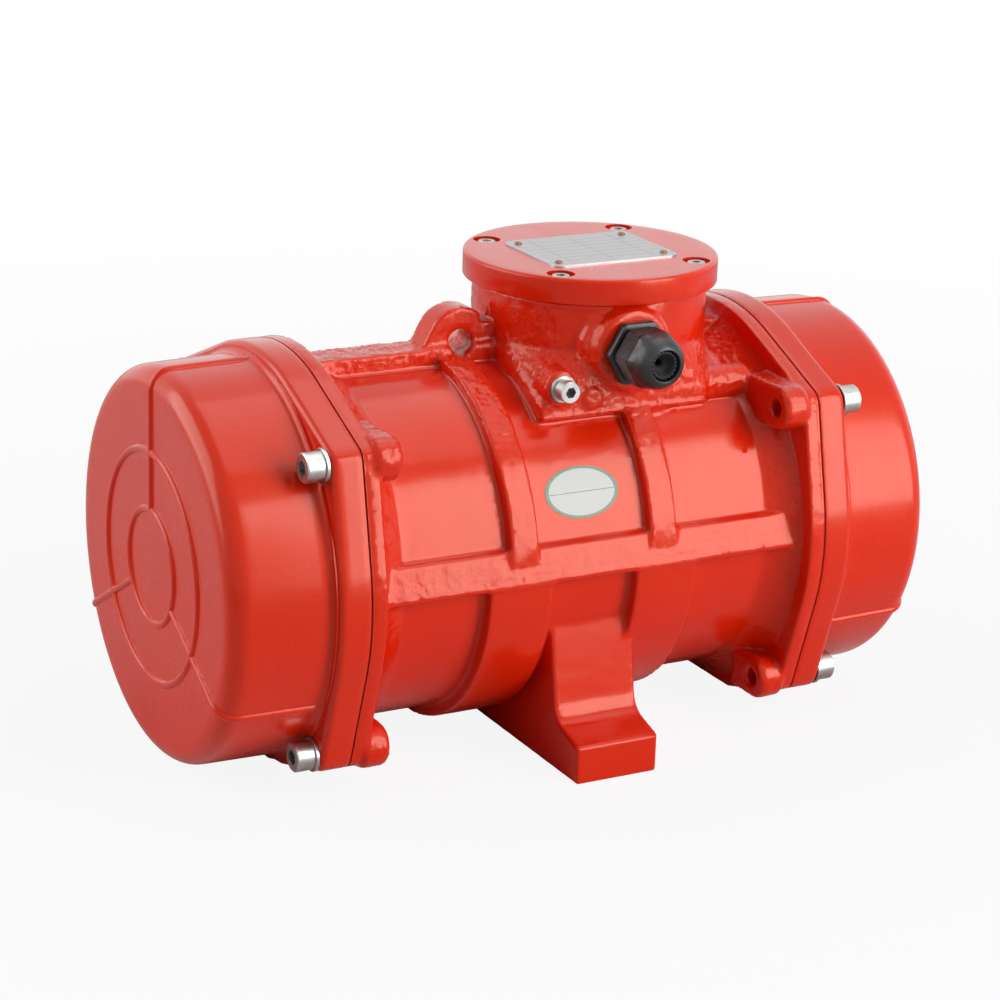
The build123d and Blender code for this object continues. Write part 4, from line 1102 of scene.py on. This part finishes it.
def spread_values(mesh, values):
    """Averages point values with those of the neighbours."""
    ends = np.empty(len(mesh.edges) * 2, dtype=np.int64)
    mesh.edges.foreach_get("vertices", ends)
    a, b = ends[0::2], ends[1::2]
    total, count = values.astype(float).copy(), np.ones(len(values))
    np.add.at(total, a, values[b])
    np.add.at(total, b, values[a])
    np.add.at(count, a, 1)
    np.add.at(count, b, 1)
    return total / count


def terminal_box(settings):
    """Solids that the terminal box, its block and what meets them on the barrel are cast from."""
    cover, casting, box = settings.cover, settings.casting, settings.box
    axis = cover.shaft_height
    low, high = box.left - 9 * MM, box.right + 14 * MM
    front, drum_foot = box.front, axis + 40 * MM
    outline = [(-front, box.low), (-front, box.shoulder), (front, box.shoulder), (front, box.low),
               (front - 4 * MM, box.low - 3.5 * MM), (0, 40 * MM), (4 * MM - front, box.low - 3.5 * MM)]
    flare = [(x, y, axis + box.shoulder) for x in (box.left, box.right) for y in (-front, front)]
    for turn in np.linspace(0, 2 * math.pi, 72, endpoint=False):
        flare.append((box.x + (box.drum - 0.3 * MM) * math.cos(turn), (box.drum - 0.3 * MM) * math.sin(turn),
                      axis + box.crown))
    gland = settings.gland
    parts = [
        cylinder_object("drum", (box.x, 0, drum_foot), (0, 0, 1), box.drum, box.top - drum_foot, 256),
        prism_object("block", [(y, axis + z) for y, z in outline], box.left, box.right),
        hull_object("flare", flare),
        cylinder_object("barrel", (low, 0, axis), (1, 0, 0), casting.barrel, high - low, 360),
        cylinder_object("hoop", (casting.rib_x - casting.rib_width / 2, 0, axis), (1, 0, 0), casting.rib_radius,
                        casting.rib_width, 360),
        box_object("top rib", (low, -casting.top_rib_width / 2, drum_foot),
                   (high, casting.top_rib_width / 2, axis + casting.top_rib_height)),
        box_object("lug foot", (low, -casting.lug_width / 2, drum_foot),
                   (box.left + 6 * MM, casting.lug_width / 2, axis + casting.lug_shoulder)),
        cylinder_object("pad", (settings.screw.earth_x, settings.screw.earth_y, settings.screw.earth_z), (0, 1, 0),
                        box.pad, 12 * MM),
        cylinder_object("mark", (box.mark_x, -front - 0.9 * MM, axis + box.mark_rise), (0, 1, 0), box.mark, 10 * MM)]
    for wider, start in ((5.2, 8), (3.8, 6), (2.6, 3.8), (1.6, 1.7), (0.8, 0.5), (-0.4, 0)):
        parts.append(cylinder_object("boss", (gland.x, gland.face + start * MM, gland.z), (0, 1, 0),
                                     box.boss + wider * MM, 24 * MM))
    for side in (-1, 1):
        parts.append(cylinder_object("lip", (box.left, side * (front - 0.2 * MM), axis + box.low), (1, 0, 0), box.lip,
                                     box.right - box.left, 24))
        parts.append(cylinder_object("web", (box.right - 10 * MM, side * casting.web_y, axis + casting.web_rise),
                                     (1, 0, 0), casting.web_radius, 24 * MM))
    return parts


def solid_casting(settings):
    """Copy of the housing with a new terminal box and its hollows filled, so that only its skin is rebuilt."""
    cover, casting, box = settings.cover, settings.casting, settings.box
    axis = cover.shaft_height
    shell = frame_copy("housing", "shell")
    cut(shell, box_object("clearing", (box.left - 6.4 * MM, -64 * MM, axis + 50 * MM),
                          (box.right + 10.4 * MM, 64 * MM, box.top + 4 * MM)))
    reach = casting.joint - 0.2 * MM
    middle = cylinder_object("bore plug", (-reach, 0, axis), (1, 0, 0), casting.counterbore + 1 * MM, 2 * reach)
    return joined("housing_skin", [shell, middle, *terminal_box(settings)])


def sharpen_joints(obj, settings):
    """Gives each end flange a crisp edge along its joint face."""
    cover, casting = settings.cover, settings.casting
    turns = np.linspace(0, 2 * math.pi, 720, endpoint=False)
    radius = flange_outline(cover, turns) - 0.1 * MM
    outline = list(zip(-radius * np.sin(turns), cover.shaft_height + radius * np.cos(turns)))
    for side in (-1, 1):
        plate = prism_object("joint plate", outline, side * (casting.joint - 2 * MM), side * casting.joint)
        cut(obj, plate, "UNION")


def hollow_casting(obj, settings):
    """Cuts the bore, the counterbores and the terminal room back out of the rebuilt skin."""
    cover, casting, box = settings.cover, settings.casting, settings.box
    height = cover.shaft_height
    cutter = cylinder_object("bore", (-casting.joint - 5 * MM, 0, height), (1, 0, 0), casting.bore,
                             2 * casting.joint + 10 * MM, 128)
    cut(obj, cutter)
    for side in (-1, 1):
        start = side * (casting.joint - casting.counterbore_depth)
        cut(obj, cylinder_object("seat", (start, 0, height), (side, 0, 0), casting.counterbore, 30 * MM, 128))
    cut(obj, cylinder_object("room", (box.x, 0, box.floor), (0, 0, 1), box.register + 0.5 * MM, 60 * MM, 96))
    gland = settings.gland
    cut(obj, cylinder_object("cable entry", (gland.x, gland.face - 5 * MM, gland.z), (0, 1, 0),
                             gland.thread + 0.2 * MM, 30 * MM, 64))


class MOTOR_OT_housing(Operator):
    """Rebuilds the housing's skin as a rounded, slightly lumpy casting."""

    bl_idname = "motor.housing"
    bl_label = "Housing"

    def execute(self, context):
        settings = context.scene.motor
        casting = settings.casting
        obj = solid_casting(settings)
        remesh = obj.modifiers.new("Skin", "REMESH")
        remesh.mode = "VOXEL"
        remesh.voxel_size = casting.voxel
        smooth = obj.modifiers.new("Round", "SMOOTH")
        smooth.factor = 0.5
        smooth.iterations = casting.smoothing
        bake_modifiers(obj)
        roughen(obj, casting, settings.cover, settings.box)
        sharpen_joints(obj, settings)
        hollow_casting(obj, settings)
        thin_out(obj, casting.triangles)
        note_hollows(obj)
        note_roughness(obj, settings.cover, settings.box)
        finish = enamel("cast enamel", settings.colour, cast=True)
        finish_piece(obj, finish, "orange_enamel", "frame", "housing", sharp_angle=60.0)
        return {"FINISHED"}


# Terminal box


def lathe_rings(profile, turns, centre):
    """Rings of points about a vertical axis from (radius, height) rows."""
    radius, height = np.array(profile).T
    x = centre[0] + radius[:, None] * np.cos(turns)[None, :]
    y = centre[1] + radius[:, None] * np.sin(turns)[None, :]
    z = np.broadcast_to(height[:, None], x.shape)
    return np.stack([x, y, z], axis=-1)


def lid_points(box, height):
    return [(box.x + box.screw_circle * math.cos(turn), box.screw_circle * math.sin(turn), height)
            for turn in np.radians([45, 135, 225, 315])]


class MOTOR_OT_lid(Operator):
    """Builds the round lid of the terminal box with its rounded edge and screw recesses."""

    bl_idname = "motor.lid"
    bl_label = "Terminal Box Lid"

    def execute(self, context):
        settings = context.scene.motor
        box = settings.box
        rounding = box.lid_rounding
        profile = [(0.002, box.lid_top)]
        profile += [(radius, box.lid_top) for radius in np.linspace(0.01, box.lid_radius - rounding, 12)]
        profile += [(box.lid_radius - rounding + rounding * math.sin(turn),
                     box.lid_top - rounding + rounding * math.cos(turn))
                    for turn in np.linspace(0, math.pi / 2, 7)[1:]]
        profile += [(box.lid_radius, box.lid_bottom + 0.5 * MM),
                    (box.lid_radius - 0.15 * MM, box.lid_bottom + 0.15 * MM),
                    (box.lid_radius - 0.5 * MM, box.lid_bottom), (box.register, box.lid_bottom),
                    (box.register, box.lid_bottom - box.register_height),
                    (0.002, box.lid_bottom - box.register_height)]
        turns = np.linspace(0, 2 * math.pi, 256, endpoint=False)
        rings = lathe_rings(profile, turns, (box.x, 0))
        mesh = ring_mesh("lid_skin", rings, (box.x, 0, profile[0][1]), (box.x, 0, profile[-1][1]))
        obj = add_object("lid_skin", outward(mesh))
        seats = [cylinder_object("seat", point, (0, 0, 1), box.seat_radius, 10 * MM, 64)
                 for point in lid_points(box, box.lid_top - box.seat_depth)]
        cut(obj, joined("seats", seats))
        holes = [cylinder_object("hole", point, (0, 0, 1), 3 * MM, 20 * MM, 48)
                 for point in lid_points(box, box.lid_bottom - 5 * MM)]
        cut(obj, joined("holes", holes))
        finish = enamel("lid enamel", settings.colour, cast=False)
        finish_piece(obj, finish, "orange_enamel", "frame", "terminal_lid")
        return {"FINISHED"}


# Screws and washers


def screw_values(size, shank_length, axis, material):
    """Inputs of the screw tree for a thread size, in the proportions of a socket head screw."""
    return {"Axis": axis, "Head Radius": 0.8 * size, "Head Height": size, "Chamfer": 0.07 * size,
            "Shank Radius": size / 2, "Shank Length": shank_length, "Socket Radius": 0.42 * size,
            "Socket Depth": 0.55 * size, "Material": material}


def painted_socket_shades(obj, points, axis, size):
    """Adds a thin dark disc at the bottom of each screw's socket as painted shade, where the deep socket lies in
    shadow.
    """
    floor = 0.45 * size
    discs = [cylinder_object("socket floor", Vector(point) + Vector(axis) * (floor - 0.4 * MM), axis, 0.35 * size,
                             0.9 * MM, 12) for point in points]
    return joined(obj.name + "_sockets", discs)


class MOTOR_OT_screws(Operator):
    """Puts the socket screws and their washers in the covers, the lid and the terminal box."""

    bl_idname = "motor.screws"
    bl_label = "Screws and Washers"

    def execute(self, context):
        settings = context.scene.motor
        cover, box, screw = settings.cover, settings.box, settings.screw
        zinc = plated_steel("zinc plating", settings.colour)
        # Near-black material for the painted shade at the bottom of the screw sockets.
        socket_shade_paint = moulded_plastic("painted socket shade", (0.035, 0.035, 0.034), 0.6)
        screws, washers = screw_tree(), washer_tree()

        def put_screws(name, points, size, shank, axis, node):
            obj = grown(name, points, [], screws, screw_values(size, shank, axis, zinc))
            finish_piece(obj, zinc, "bright_steel", "frame", node)
            # Dark discs of painted shade at the bottom of the sockets.
            finish_piece(painted_socket_shades(obj, points, axis, size), socket_shade_paint, None, "frame")

        for side, end in ((1, "right"), (-1, "left")):
            axis = (side, 0, 0)
            put_screws("cover_screw_set_" + end, bolt_points(cover, side, cover.face + screw.washer), screw.cover,
                       screw.cover_length, axis, "cover_screws_" + end)
            obj = grown("cover_washer_set_" + end, bolt_points(cover, side, cover.face), [], washers, {
                "Axis": axis, "Outer Radius": screw.washer_radius, "Inner Radius": screw.cover / 2 + 0.2 * MM,
                "Thickness": screw.washer, "Material": zinc})
            finish_piece(obj, zinc, "bright_steel", "frame", "cover_washers_" + end)
        put_screws("lid_screw_set", lid_points(box, box.lid_top - box.seat_depth), screw.lid, screw.lid_length,
                   (0, 0, 1), "terminal_lid_screws")
        seat = (screw.earth_x, screw.earth_y, screw.earth_z)
        obj = grown("earth_washer", [seat], [], washers, {
            "Axis": (0, -1, 0), "Outer Radius": screw.earth, "Inner Radius": screw.earth / 2 + 0.2 * MM,
            "Thickness": screw.washer, "Material": zinc})
        finish_piece(obj, zinc, "bright_steel", "frame", "ground_washer")
        above = (screw.earth_x, screw.earth_y - screw.washer, screw.earth_z)
        put_screws("earth_screw", [above], screw.earth, screw.earth_length, (0, -1, 0), "ground_screw")
        return {"FINISHED"}


# Cable gland


def hexagon_radius(turns, flats, corner):
    """Radius of a hexagon with cut corners at each angle."""
    off = turns % (math.pi / 3) - math.pi / 6
    return np.minimum(flats / 2 / np.cos(off), corner)


def gland_rings(gland, rows, turns):
    """Rings about the gland's axis from rows of (distance from the seat, radius at each angle)."""
    rings = []
    for out, radius in rows:
        radius = np.broadcast_to(radius, turns.shape)
        x = gland.x + radius * np.cos(turns)
        z = gland.z + radius * np.sin(turns)
        rings.append(np.stack([x, np.full_like(turns, gland.face - out), z], axis=-1))
    return np.array(rings)


def gland_flange_mesh(gland, turns):
    """Hexagon flange with its thread in the housing and its threaded neck under the nut."""
    flats = hexagon_radius(turns, gland.flats, gland.flats * 0.562)
    edge = 0.5 * MM
    bore = gland.mouth + 0.8 * MM
    rows = [(-gland.thread_length, bore), (-gland.thread_length, gland.thread - 0.6 * MM),
            (-gland.thread_length + 0.6 * MM, gland.thread), (-0.01 * MM, gland.thread), (0, gland.thread + 0.2 * MM),
            (0, flats - edge), (0.15 * MM, flats - 0.15 * MM), (edge, flats), (gland.flange - 0.5 * MM, flats),
            (gland.flange - 0.15 * MM, flats - 0.15 * MM), (gland.flange, flats - 0.5 * MM), (gland.flange, gland.neck)]
    pitch, groove = 1.3 * MM, 0.4 * MM
    for turn in range(9):
        rows.append((gland.flange + (turn + 0.25) * pitch, gland.neck))
        rows.append((gland.flange + (turn + 0.5) * pitch, gland.neck - groove))
        rows.append((gland.flange + (turn + 0.75) * pitch, gland.neck - groove))
    neck_end = gland.flange + gland.gap + gland.nut
    rows += [(neck_end, gland.neck - groove), (neck_end, bore)]
    return closed_tube("gland_body_skin", gland_rings(gland, rows, turns))


def gland_nut_mesh(gland, turns):
    """Nut whose hexagon runs over into a round dome with an open mouth."""
    base = gland.flange + gland.gap
    flats = hexagon_radius(turns, gland.hexagon - 0.8 * MM, gland.hexagon * 0.54)
    collar = hexagon_radius(turns, gland.hexagon, gland.hexagon * 0.545)
    inner = gland.neck + 0.08 * MM
    grip_end = base + gland.grip
    rows = [(base, inner), (base, flats - 0.9 * MM), (base + 0.1 * MM, flats - 0.5 * MM), (base + 0.5 * MM, flats),
            (grip_end, flats), (grip_end + 0.3 * MM, collar - 0.1 * MM), (grip_end + 0.5 * MM, collar)]
    crown = base + gland.nut + gland.dome
    round_radius = gland.hexagon * 0.49
    lip = math.acos(1 - (round_radius - gland.mouth - 0.9 * MM) / gland.bend)
    centre = crown - gland.bend * math.sin(lip)
    for part in np.linspace(0, 1, 14)[1:]:
        out = grip_end + 0.8 * MM + part * (crown - grip_end - 0.8 * MM)
        over = max(0.0, out - centre)
        dome = round_radius - gland.bend + math.sqrt(gland.bend ** 2 - over ** 2)
        blend = min(1.0, 2.4 * part)
        blend = blend * blend * (3 - 2 * blend)
        rows.append((out, np.minimum(collar * (1 - blend) + dome * blend, collar)))
    rows += [(crown + 0.15 * MM, gland.mouth + 0.5 * MM), (crown - 0.05 * MM, gland.mouth + 0.15 * MM),
             (crown - 0.5 * MM, gland.mouth), (crown - 3 * MM, gland.mouth), (base + gland.nut + 2 * MM, gland.mouth),
             (base + gland.nut + 1 * MM, inner)]
    return closed_tube("gland_nut_skin", gland_rings(gland, rows, turns))


def gland_seal_mesh(gland, turns):
    """Rubber sleeve whose mouth is folded into small lobes."""
    base = gland.flange + 2 * MM
    outer = gland.mouth - 0.3 * MM
    top = base + gland.gap + gland.nut + gland.dome - 3.2 * MM
    folds = np.clip(0.5 + 0.9 * np.cos(turns * gland.fins), 0, 1)
    rows = [(base, gland.seal - 1.4 * MM), (base, outer), (top - 2.6 * MM, outer),
            (top - 1.4 * MM, outer - 0.2 * MM * folds), (top - 0.5 * MM, outer - 0.5 * MM * folds),
            (top - 0.05 * MM, outer - 0.4 * MM - 0.7 * MM * folds),
            (top - 0.6 * MM * folds - 0.05 * MM, outer - 1.1 * MM - 0.5 * MM * folds),
            (top - 1.5 * MM, outer - 1.9 * MM), (top - 3.2 * MM, gland.seal + 0.9 * MM),
            (top - 4.6 * MM, gland.seal - 0.2 * MM), (top - 5.4 * MM, gland.seal - 1.2 * MM),
            (top - 6.2 * MM, gland.seal - 1.4 * MM)]
    return closed_tube("gland_seal_skin", gland_rings(gland, rows, turns))


class MOTOR_OT_gland(Operator):
    """Builds the cable gland: hexagon body, ridged domed nut and folded rubber seal."""

    bl_idname = "motor.gland"
    bl_label = "Cable Gland"

    def execute(self, context):
        settings = context.scene.motor
        gland = settings.gland
        turns = np.linspace(0, 2 * math.pi, 240, endpoint=False)
        nylon = moulded_plastic("black nylon", settings.colour.nylon, 0.34)
        rubber = moulded_plastic("seal rubber", settings.colour.rubber, 0.55)
        body = add_object("gland_body_skin", outward(gland_flange_mesh(gland, turns)))
        finish_piece(body, nylon, "black_nylon", "frame", "gland_body")
        seal = add_object("gland_seal_skin", outward(gland_seal_mesh(gland, turns)))
        finish_piece(seal, rubber, "seal_rubber", "frame", "gland_seal", sharp_angle=50.0)
        nut = add_object("gland_nut_skin", outward(gland_nut_mesh(gland, turns)))
        base = gland.flange + gland.gap
        grip = hexagon_radius(turns, gland.hexagon - 0.9 * MM, gland.hexagon * 0.535)
        outline = gland_rings(gland, [(base + 0.3 * MM + gland.grip / 2, grip)], turns)[0]
        edges = [(i, (i + 1) % len(turns)) for i in range(len(turns))]
        ridges = grown("nut_ridges", outline, edges, ridge_tree(), {
            "Count": gland.ridges, "Ridge Radius": 0.38 * MM, "Ridge Length": gland.grip - 0.8 * MM, "Axis": (0, -1, 0),
            "Material": nylon})
        nut = joined("gland_nut_skin", [nut, ridges])
        finish_piece(nut, nylon, "black_nylon", "gland_nut", "gland_nut")
        return {"FINISHED"}


# Nameplate and sticker


def rounded_rectangle(width, height, corner, steps=10):
    """Points of a rectangle with round corners, anticlockwise."""
    points = []
    for index, (sx, sy) in enumerate(((1, 1), (-1, 1), (-1, -1), (1, -1))):
        for turn in np.linspace(index * math.pi / 2, (index + 1) * math.pi / 2, steps):
            points.append((sx * (width / 2 - corner) + corner * math.cos(turn),
                           sy * (height / 2 - corner) + corner * math.sin(turn)))
    return np.array(points)


class MOTOR_OT_nameplate(Operator):
    """Lays the blank nameplate with its raised rim on the lid and rivets it down."""

    bl_idname = "motor.nameplate"
    bl_label = "Nameplate and Rivets"

    def execute(self, context):
        settings = context.scene.motor
        plate, box = settings.plate, settings.box
        low, high = box.lid_top, box.lid_top + plate.thickness
        rings, marks = [], []
        for inset, height, etched in ((0, low, 0), (0, high - 0.2 * MM, 0), (0.2 * MM, high, 0), (2.4 * MM, high, 0),
                                      (2.7 * MM, high - 0.12 * MM, 0), (3.2 * MM, high - 0.12 * MM, 1)):
            outline = rounded_rectangle(plate.length - 2 * inset, plate.width - 2 * inset,
                                        max(plate.corner - inset, 1.5 * MM))
            rings.append([(box.x + x, y, height) for x, y in outline])
            marks += [etched] * len(outline)
        mesh = ring_mesh("nameplate_skin", np.array(rings), (box.x, 0, low), (box.x, 0, high - 0.12 * MM))
        etched = mesh.attributes.new("etched", "FLOAT", "POINT")
        etched.data.foreach_set("value", np.array([0.0] + marks + [1.0], dtype=np.float32))
        obj = add_object("nameplate_skin", outward(mesh))
        finish_piece(obj, plate_finish("etched plate", settings.colour, box), "plate_aluminium", "frame", "nameplate")
        copper = turned_metal("rivet copper", settings.colour.rivet, 0.42, 0.0015)
        spots = [(box.x + i * plate.rivet_x / 2, j * plate.rivet_y / 2, high) for i in (-1, 1) for j in (-1, 1)]
        rivets = grown("rivet_set", spots, [], rivet_tree(), {
            "Radius": plate.rivet, "Height": plate.rivet_height, "Stem Length": plate.thickness, "Material": copper})
        finish_piece(rivets, copper, "rivet_copper", "frame", "nameplate_rivets")
        return {"FINISHED"}


class MOTOR_OT_sticker(Operator):
    """Sticks the blank oval sticker with its green border on the barrel."""

    bl_idname = "motor.sticker"
    bl_label = "Sticker"

    def execute(self, context):
        settings = context.scene.motor
        sticker, cover = settings.sticker, settings.cover
        around = np.linspace(0, 2 * math.pi, 96, endpoint=False)
        rings, marks = [], []
        for share, lift, mark in ((0.97, -0.5, 1), (1.0, 0.0, 1), (0.995, 1.0, 1), (0.91, 1.0, 1), (0.885, 1.0, 0),
                                  (0.86, 1.0, 0), (0.7, 1.0, 0), (0.45, 1.0, 0), (0.2, 1.0, 0)):
            along = sticker.x + share * sticker.width / 2 * np.cos(around)
            turn = sticker.turn - share * sticker.height / 2 / sticker.barrel * np.sin(around)
            radius = sticker.barrel + lift * sticker.thickness
            rings.append(np.stack([along, -radius * np.sin(turn), cover.shaft_height + radius * np.cos(turn)], axis=-1))
            marks += [mark] * len(around)
        centre = [(sticker.x, -radius * math.sin(sticker.turn), cover.shaft_height + radius * math.cos(sticker.turn))
                  for radius in (sticker.barrel - 0.4 * MM, sticker.barrel + sticker.thickness)]
        mesh = ring_mesh("sticker", np.array(rings), centre[0], centre[1])
        border = mesh.attributes.new("border", "FLOAT", "POINT")
        border.data.foreach_set("value", np.array([1.0] + marks + [0.0], dtype=np.float32))
        obj = add_object("sticker", outward(mesh))
        middle = cover.shaft_height + radius * math.cos(sticker.turn)
        finish_piece(obj, sticker_finish("sticker paper", settings.colour, middle), None, "frame")
        return {"FINISHED"}


# Nodes that keep their own shape


class MOTOR_OT_inner_parts(Operator):
    """Gives the gaskets and everything inside the motor its finish."""

    bl_idname = "motor.inner_parts"
    bl_label = "Inner Parts"

    def execute(self, context):
        tones = context.scene.motor.colour
        ends = ("left", "right")

        def both(*names):
            return [name + "_" + end for name in names for end in ends]

        paint_nodes(jointing("jointing", tones.gasket), "terminal_lid_gasket", *both("cover_gasket"))
        paint_nodes(rough_iron("machined casting", tones.iron), *both("bearing_shield", "bearing_cap"))
        paint_nodes(turned_metal("ground steel", tones.steel, 0.25), "shaft",
                    *both("shaft_spacer", "weight_key", "bearing_outer_race", "bearing_inner_race",
                          "bearing_rollers"))
        paint_nodes(rough_iron("flame-cut steel", tuple(0.7 * part for part in tones.steel)),
                    *both("inner_weight", "outer_weight"))
        paint_nodes(plated_steel("inner zinc plating", tones), "terminal_block_screws",
                    *both("shield_screws", "bearing_cap_screws", "inner_weight_clamp_screw",
                          "outer_weight_clamp_screw", "circlip"))
        paint_nodes(turned_metal("turned brass", tones.brass, 0.3), "terminal_studs", "terminal_nuts",
                    *both("bearing_cage"))
        paint_nodes(laminated_steel("laminations", tones.iron), "stator_core", "rotor_core")
        paint_nodes(wound_copper("windings", tones.copper), "stator_windings")
        paint_nodes(turned_metal("cast aluminium", tones.plate, 0.5, 0.002), "rotor_cage")
        paint_nodes(moulded_plastic("thermoset", tones.moulding, 0.4), "terminal_block")
        return {"FINISHED"}


# Stage


def camera_matrix(stage):
    """Turn of the camera from its yaw, pitch and roll."""
    forward = Vector((math.sin(stage.yaw) * math.cos(stage.pitch), math.cos(stage.yaw) * math.cos(stage.pitch),
                      math.sin(stage.pitch)))
    right = Vector((math.cos(stage.yaw), -math.sin(stage.yaw), 0))
    up = right.cross(forward)
    turned_right = right * math.cos(stage.roll) + up * math.sin(stage.roll)
    turned_up = up * math.cos(stage.roll) - right * math.sin(stage.roll)
    return Matrix((turned_right, turned_up, -forward)).transposed()


def add_panel(name, place, target, width, height, watts):
    """Soft light panel at a place, turned towards a target, in metres and watts."""
    light = bpy.data.lights.new(name, "AREA")
    light.shape = "RECTANGLE"
    light.size, light.size_y = width, height
    light.energy = watts
    obj = bpy.data.objects.new(name, light)
    direction = Vector(target) - Vector(place)
    obj.rotation_euler = direction.to_track_quat("-Z", "Y").to_euler()
    obj.location = place
    bpy.context.scene.collection.objects.link(obj)
    return obj


def math_node(tree, operation, a, b):
    node = tree.nodes.new("ShaderNodeMath")
    node.operation = operation
    for socket, value in zip(node.inputs, (a, b)):
        if isinstance(value, bpy.types.NodeSocket):
            tree.links.new(value, socket)
        else:
            socket.default_value = value
    return node.outputs[0]


def show_white(tree, shader_socket, output, direct=1.0, reflected=1.0):
    """Lets the camera, by one share, and metal and glass, by another, see plain white there."""
    path = tree.nodes.new("ShaderNodeLightPath")
    bounced = math_node(tree, "MAXIMUM", path.outputs["Is Glossy Ray"], path.outputs["Is Transmission Ray"])
    weight = math_node(tree, "MAXIMUM", math_node(tree, "MULTIPLY", path.outputs["Is Camera Ray"], direct),
                       math_node(tree, "MULTIPLY", bounced, reflected))
    white = tree.nodes.new("ShaderNodeEmission")
    mix = tree.nodes.new("ShaderNodeMixShader")
    tree.links.new(weight, mix.inputs[0])
    tree.links.new(shader_socket, mix.inputs[1])
    tree.links.new(white.outputs[0], mix.inputs[2])
    tree.links.new(mix.outputs[0], output)


def build_world(stage):
    """World that lights softly and is white where it is seen."""
    world = bpy.data.worlds.new("studio")
    bpy.context.scene.world = world
    world.use_nodes = True
    tree = world.node_tree
    background = tree.nodes["Background"]
    background.inputs["Strength"].default_value = stage.sky
    show_white(tree, background.outputs[0], tree.nodes["World Output"].inputs["Surface"])


def build_floor(stage):
    """Pale floor that keeps a faint shadow near the motor and is white farther away."""
    mesh = mesh_from("floor", [(-stage.floor, -stage.floor, 0), (stage.floor, -stage.floor, 0),
                               (stage.floor, stage.floor, 0), (-stage.floor, stage.floor, 0)], [(0, 1, 2, 3)])
    obj = add_object("floor", mesh)
    material = bpy.data.materials.new("floor paper")
    material.use_nodes = True
    tree = material.node_tree
    shader = tree.nodes["Principled BSDF"]
    shader.inputs["Base Color"].default_value = (0.7, 0.7, 0.7, 1.0)
    shader.inputs["Roughness"].default_value = 0.9
    shader.inputs["Specular IOR Level"].default_value = 0.0
    place = tree.nodes.new("ShaderNodeTexCoord")
    away = tree.nodes.new("ShaderNodeVectorMath")
    away.operation = "LENGTH"
    tree.links.new(place.outputs["Object"], away.inputs[0])
    shares = []
    for near, far, low in ((0.2, 1.0, stage.floor_share), (1.2, 3.0, 0.0)):
        share = tree.nodes.new("ShaderNodeMapRange")
        for socket, value in zip(("From Min", "From Max", "To Min", "To Max"), (near, far, low, 1.0)):
            share.inputs[socket].default_value = value
        tree.links.new(away.outputs["Value"], share.inputs["Value"])
        shares.append(share.outputs[0])
    show_white(tree, shader.outputs[0], tree.nodes["Material Output"].inputs["Surface"], *shares)
    obj.data.materials.append(material)


class MOTOR_OT_stage(Operator):
    """Sets the floor, the soft studio light and the camera."""

    bl_idname = "motor.stage"
    bl_label = "Stage"

    def execute(self, context):
        stage = context.scene.motor.stage
        build_world(stage)
        build_floor(stage)
        add_panel("key panel", (0.80, -1.22, 0.78), (0.0, 0.0, 0.78), 0.85, 1.52, stage.key)
        add_panel("top panel", (0.35, 0.0, 1.45), (0.0, 0.0, 0.1), 1.3, 0.9, stage.top)
        add_panel("side panel", (-1.99, 0.93, 1.15), (0.0, 0.0, 0.09), 2.2, 2.0, stage.side)
        camera = bpy.data.cameras.new("camera")
        camera.sensor_width = 36
        camera.lens = stage.lens
        camera.shift_x, camera.shift_y = stage.shift_x, stage.shift_y
        camera.clip_start, camera.clip_end = 0.05, 50
        obj = bpy.data.objects.new("camera", camera)
        obj.matrix_world = Matrix.Translation((stage.camera_x, stage.camera_y, stage.camera_z)) @ \
            camera_matrix(stage).to_4x4()
        context.scene.collection.objects.link(obj)
        context.scene.camera = obj
        context.scene.view_settings.view_transform = "Standard"
        return {"FINISHED"}


class MOTOR_PT_panel(Panel):
    """Lists the motor's pieces in the order in which they are built."""

    bl_label = "Vibration Motor"
    bl_idname = "MOTOR_PT_panel"
    bl_space_type = "VIEW_3D"
    bl_region_type = "UI"
    bl_category = "Motor"

    def draw(self, context):
        for operator in OPERATORS:
            self.layout.operator(operator.bl_idname)


GROUPS = (CoverSizes, CastingSizes, BoxSizes, ScrewSizes, GlandSizes, PlateSizes, StickerSizes, Colours, StageSizes,
          MotorSettings)
OPERATORS = (MOTOR_OT_stage, MOTOR_OT_housing, MOTOR_OT_covers, MOTOR_OT_lid, MOTOR_OT_screws, MOTOR_OT_gland,
             MOTOR_OT_nameplate, MOTOR_OT_sticker, MOTOR_OT_inner_parts)


def register():
    for item in (*GROUPS, *OPERATORS, MOTOR_PT_panel):
        bpy.utils.register_class(item)
    bpy.types.Scene.motor = PointerProperty(type=MotorSettings)


def unregister():
    del bpy.types.Scene.motor
    for item in reversed((*GROUPS, *OPERATORS, MOTOR_PT_panel)):
        bpy.utils.unregister_class(item)


def main():
    register()
    bpy.ops.motor.stage()
    bpy.ops.motor.housing()
    bpy.ops.motor.covers()
    bpy.ops.motor.lid()
    bpy.ops.motor.screws()
    bpy.ops.motor.gland()
    bpy.ops.motor.nameplate()
    bpy.ops.motor.sticker()
    bpy.ops.motor.inner_parts()


if __name__ == "__main__":
    main()
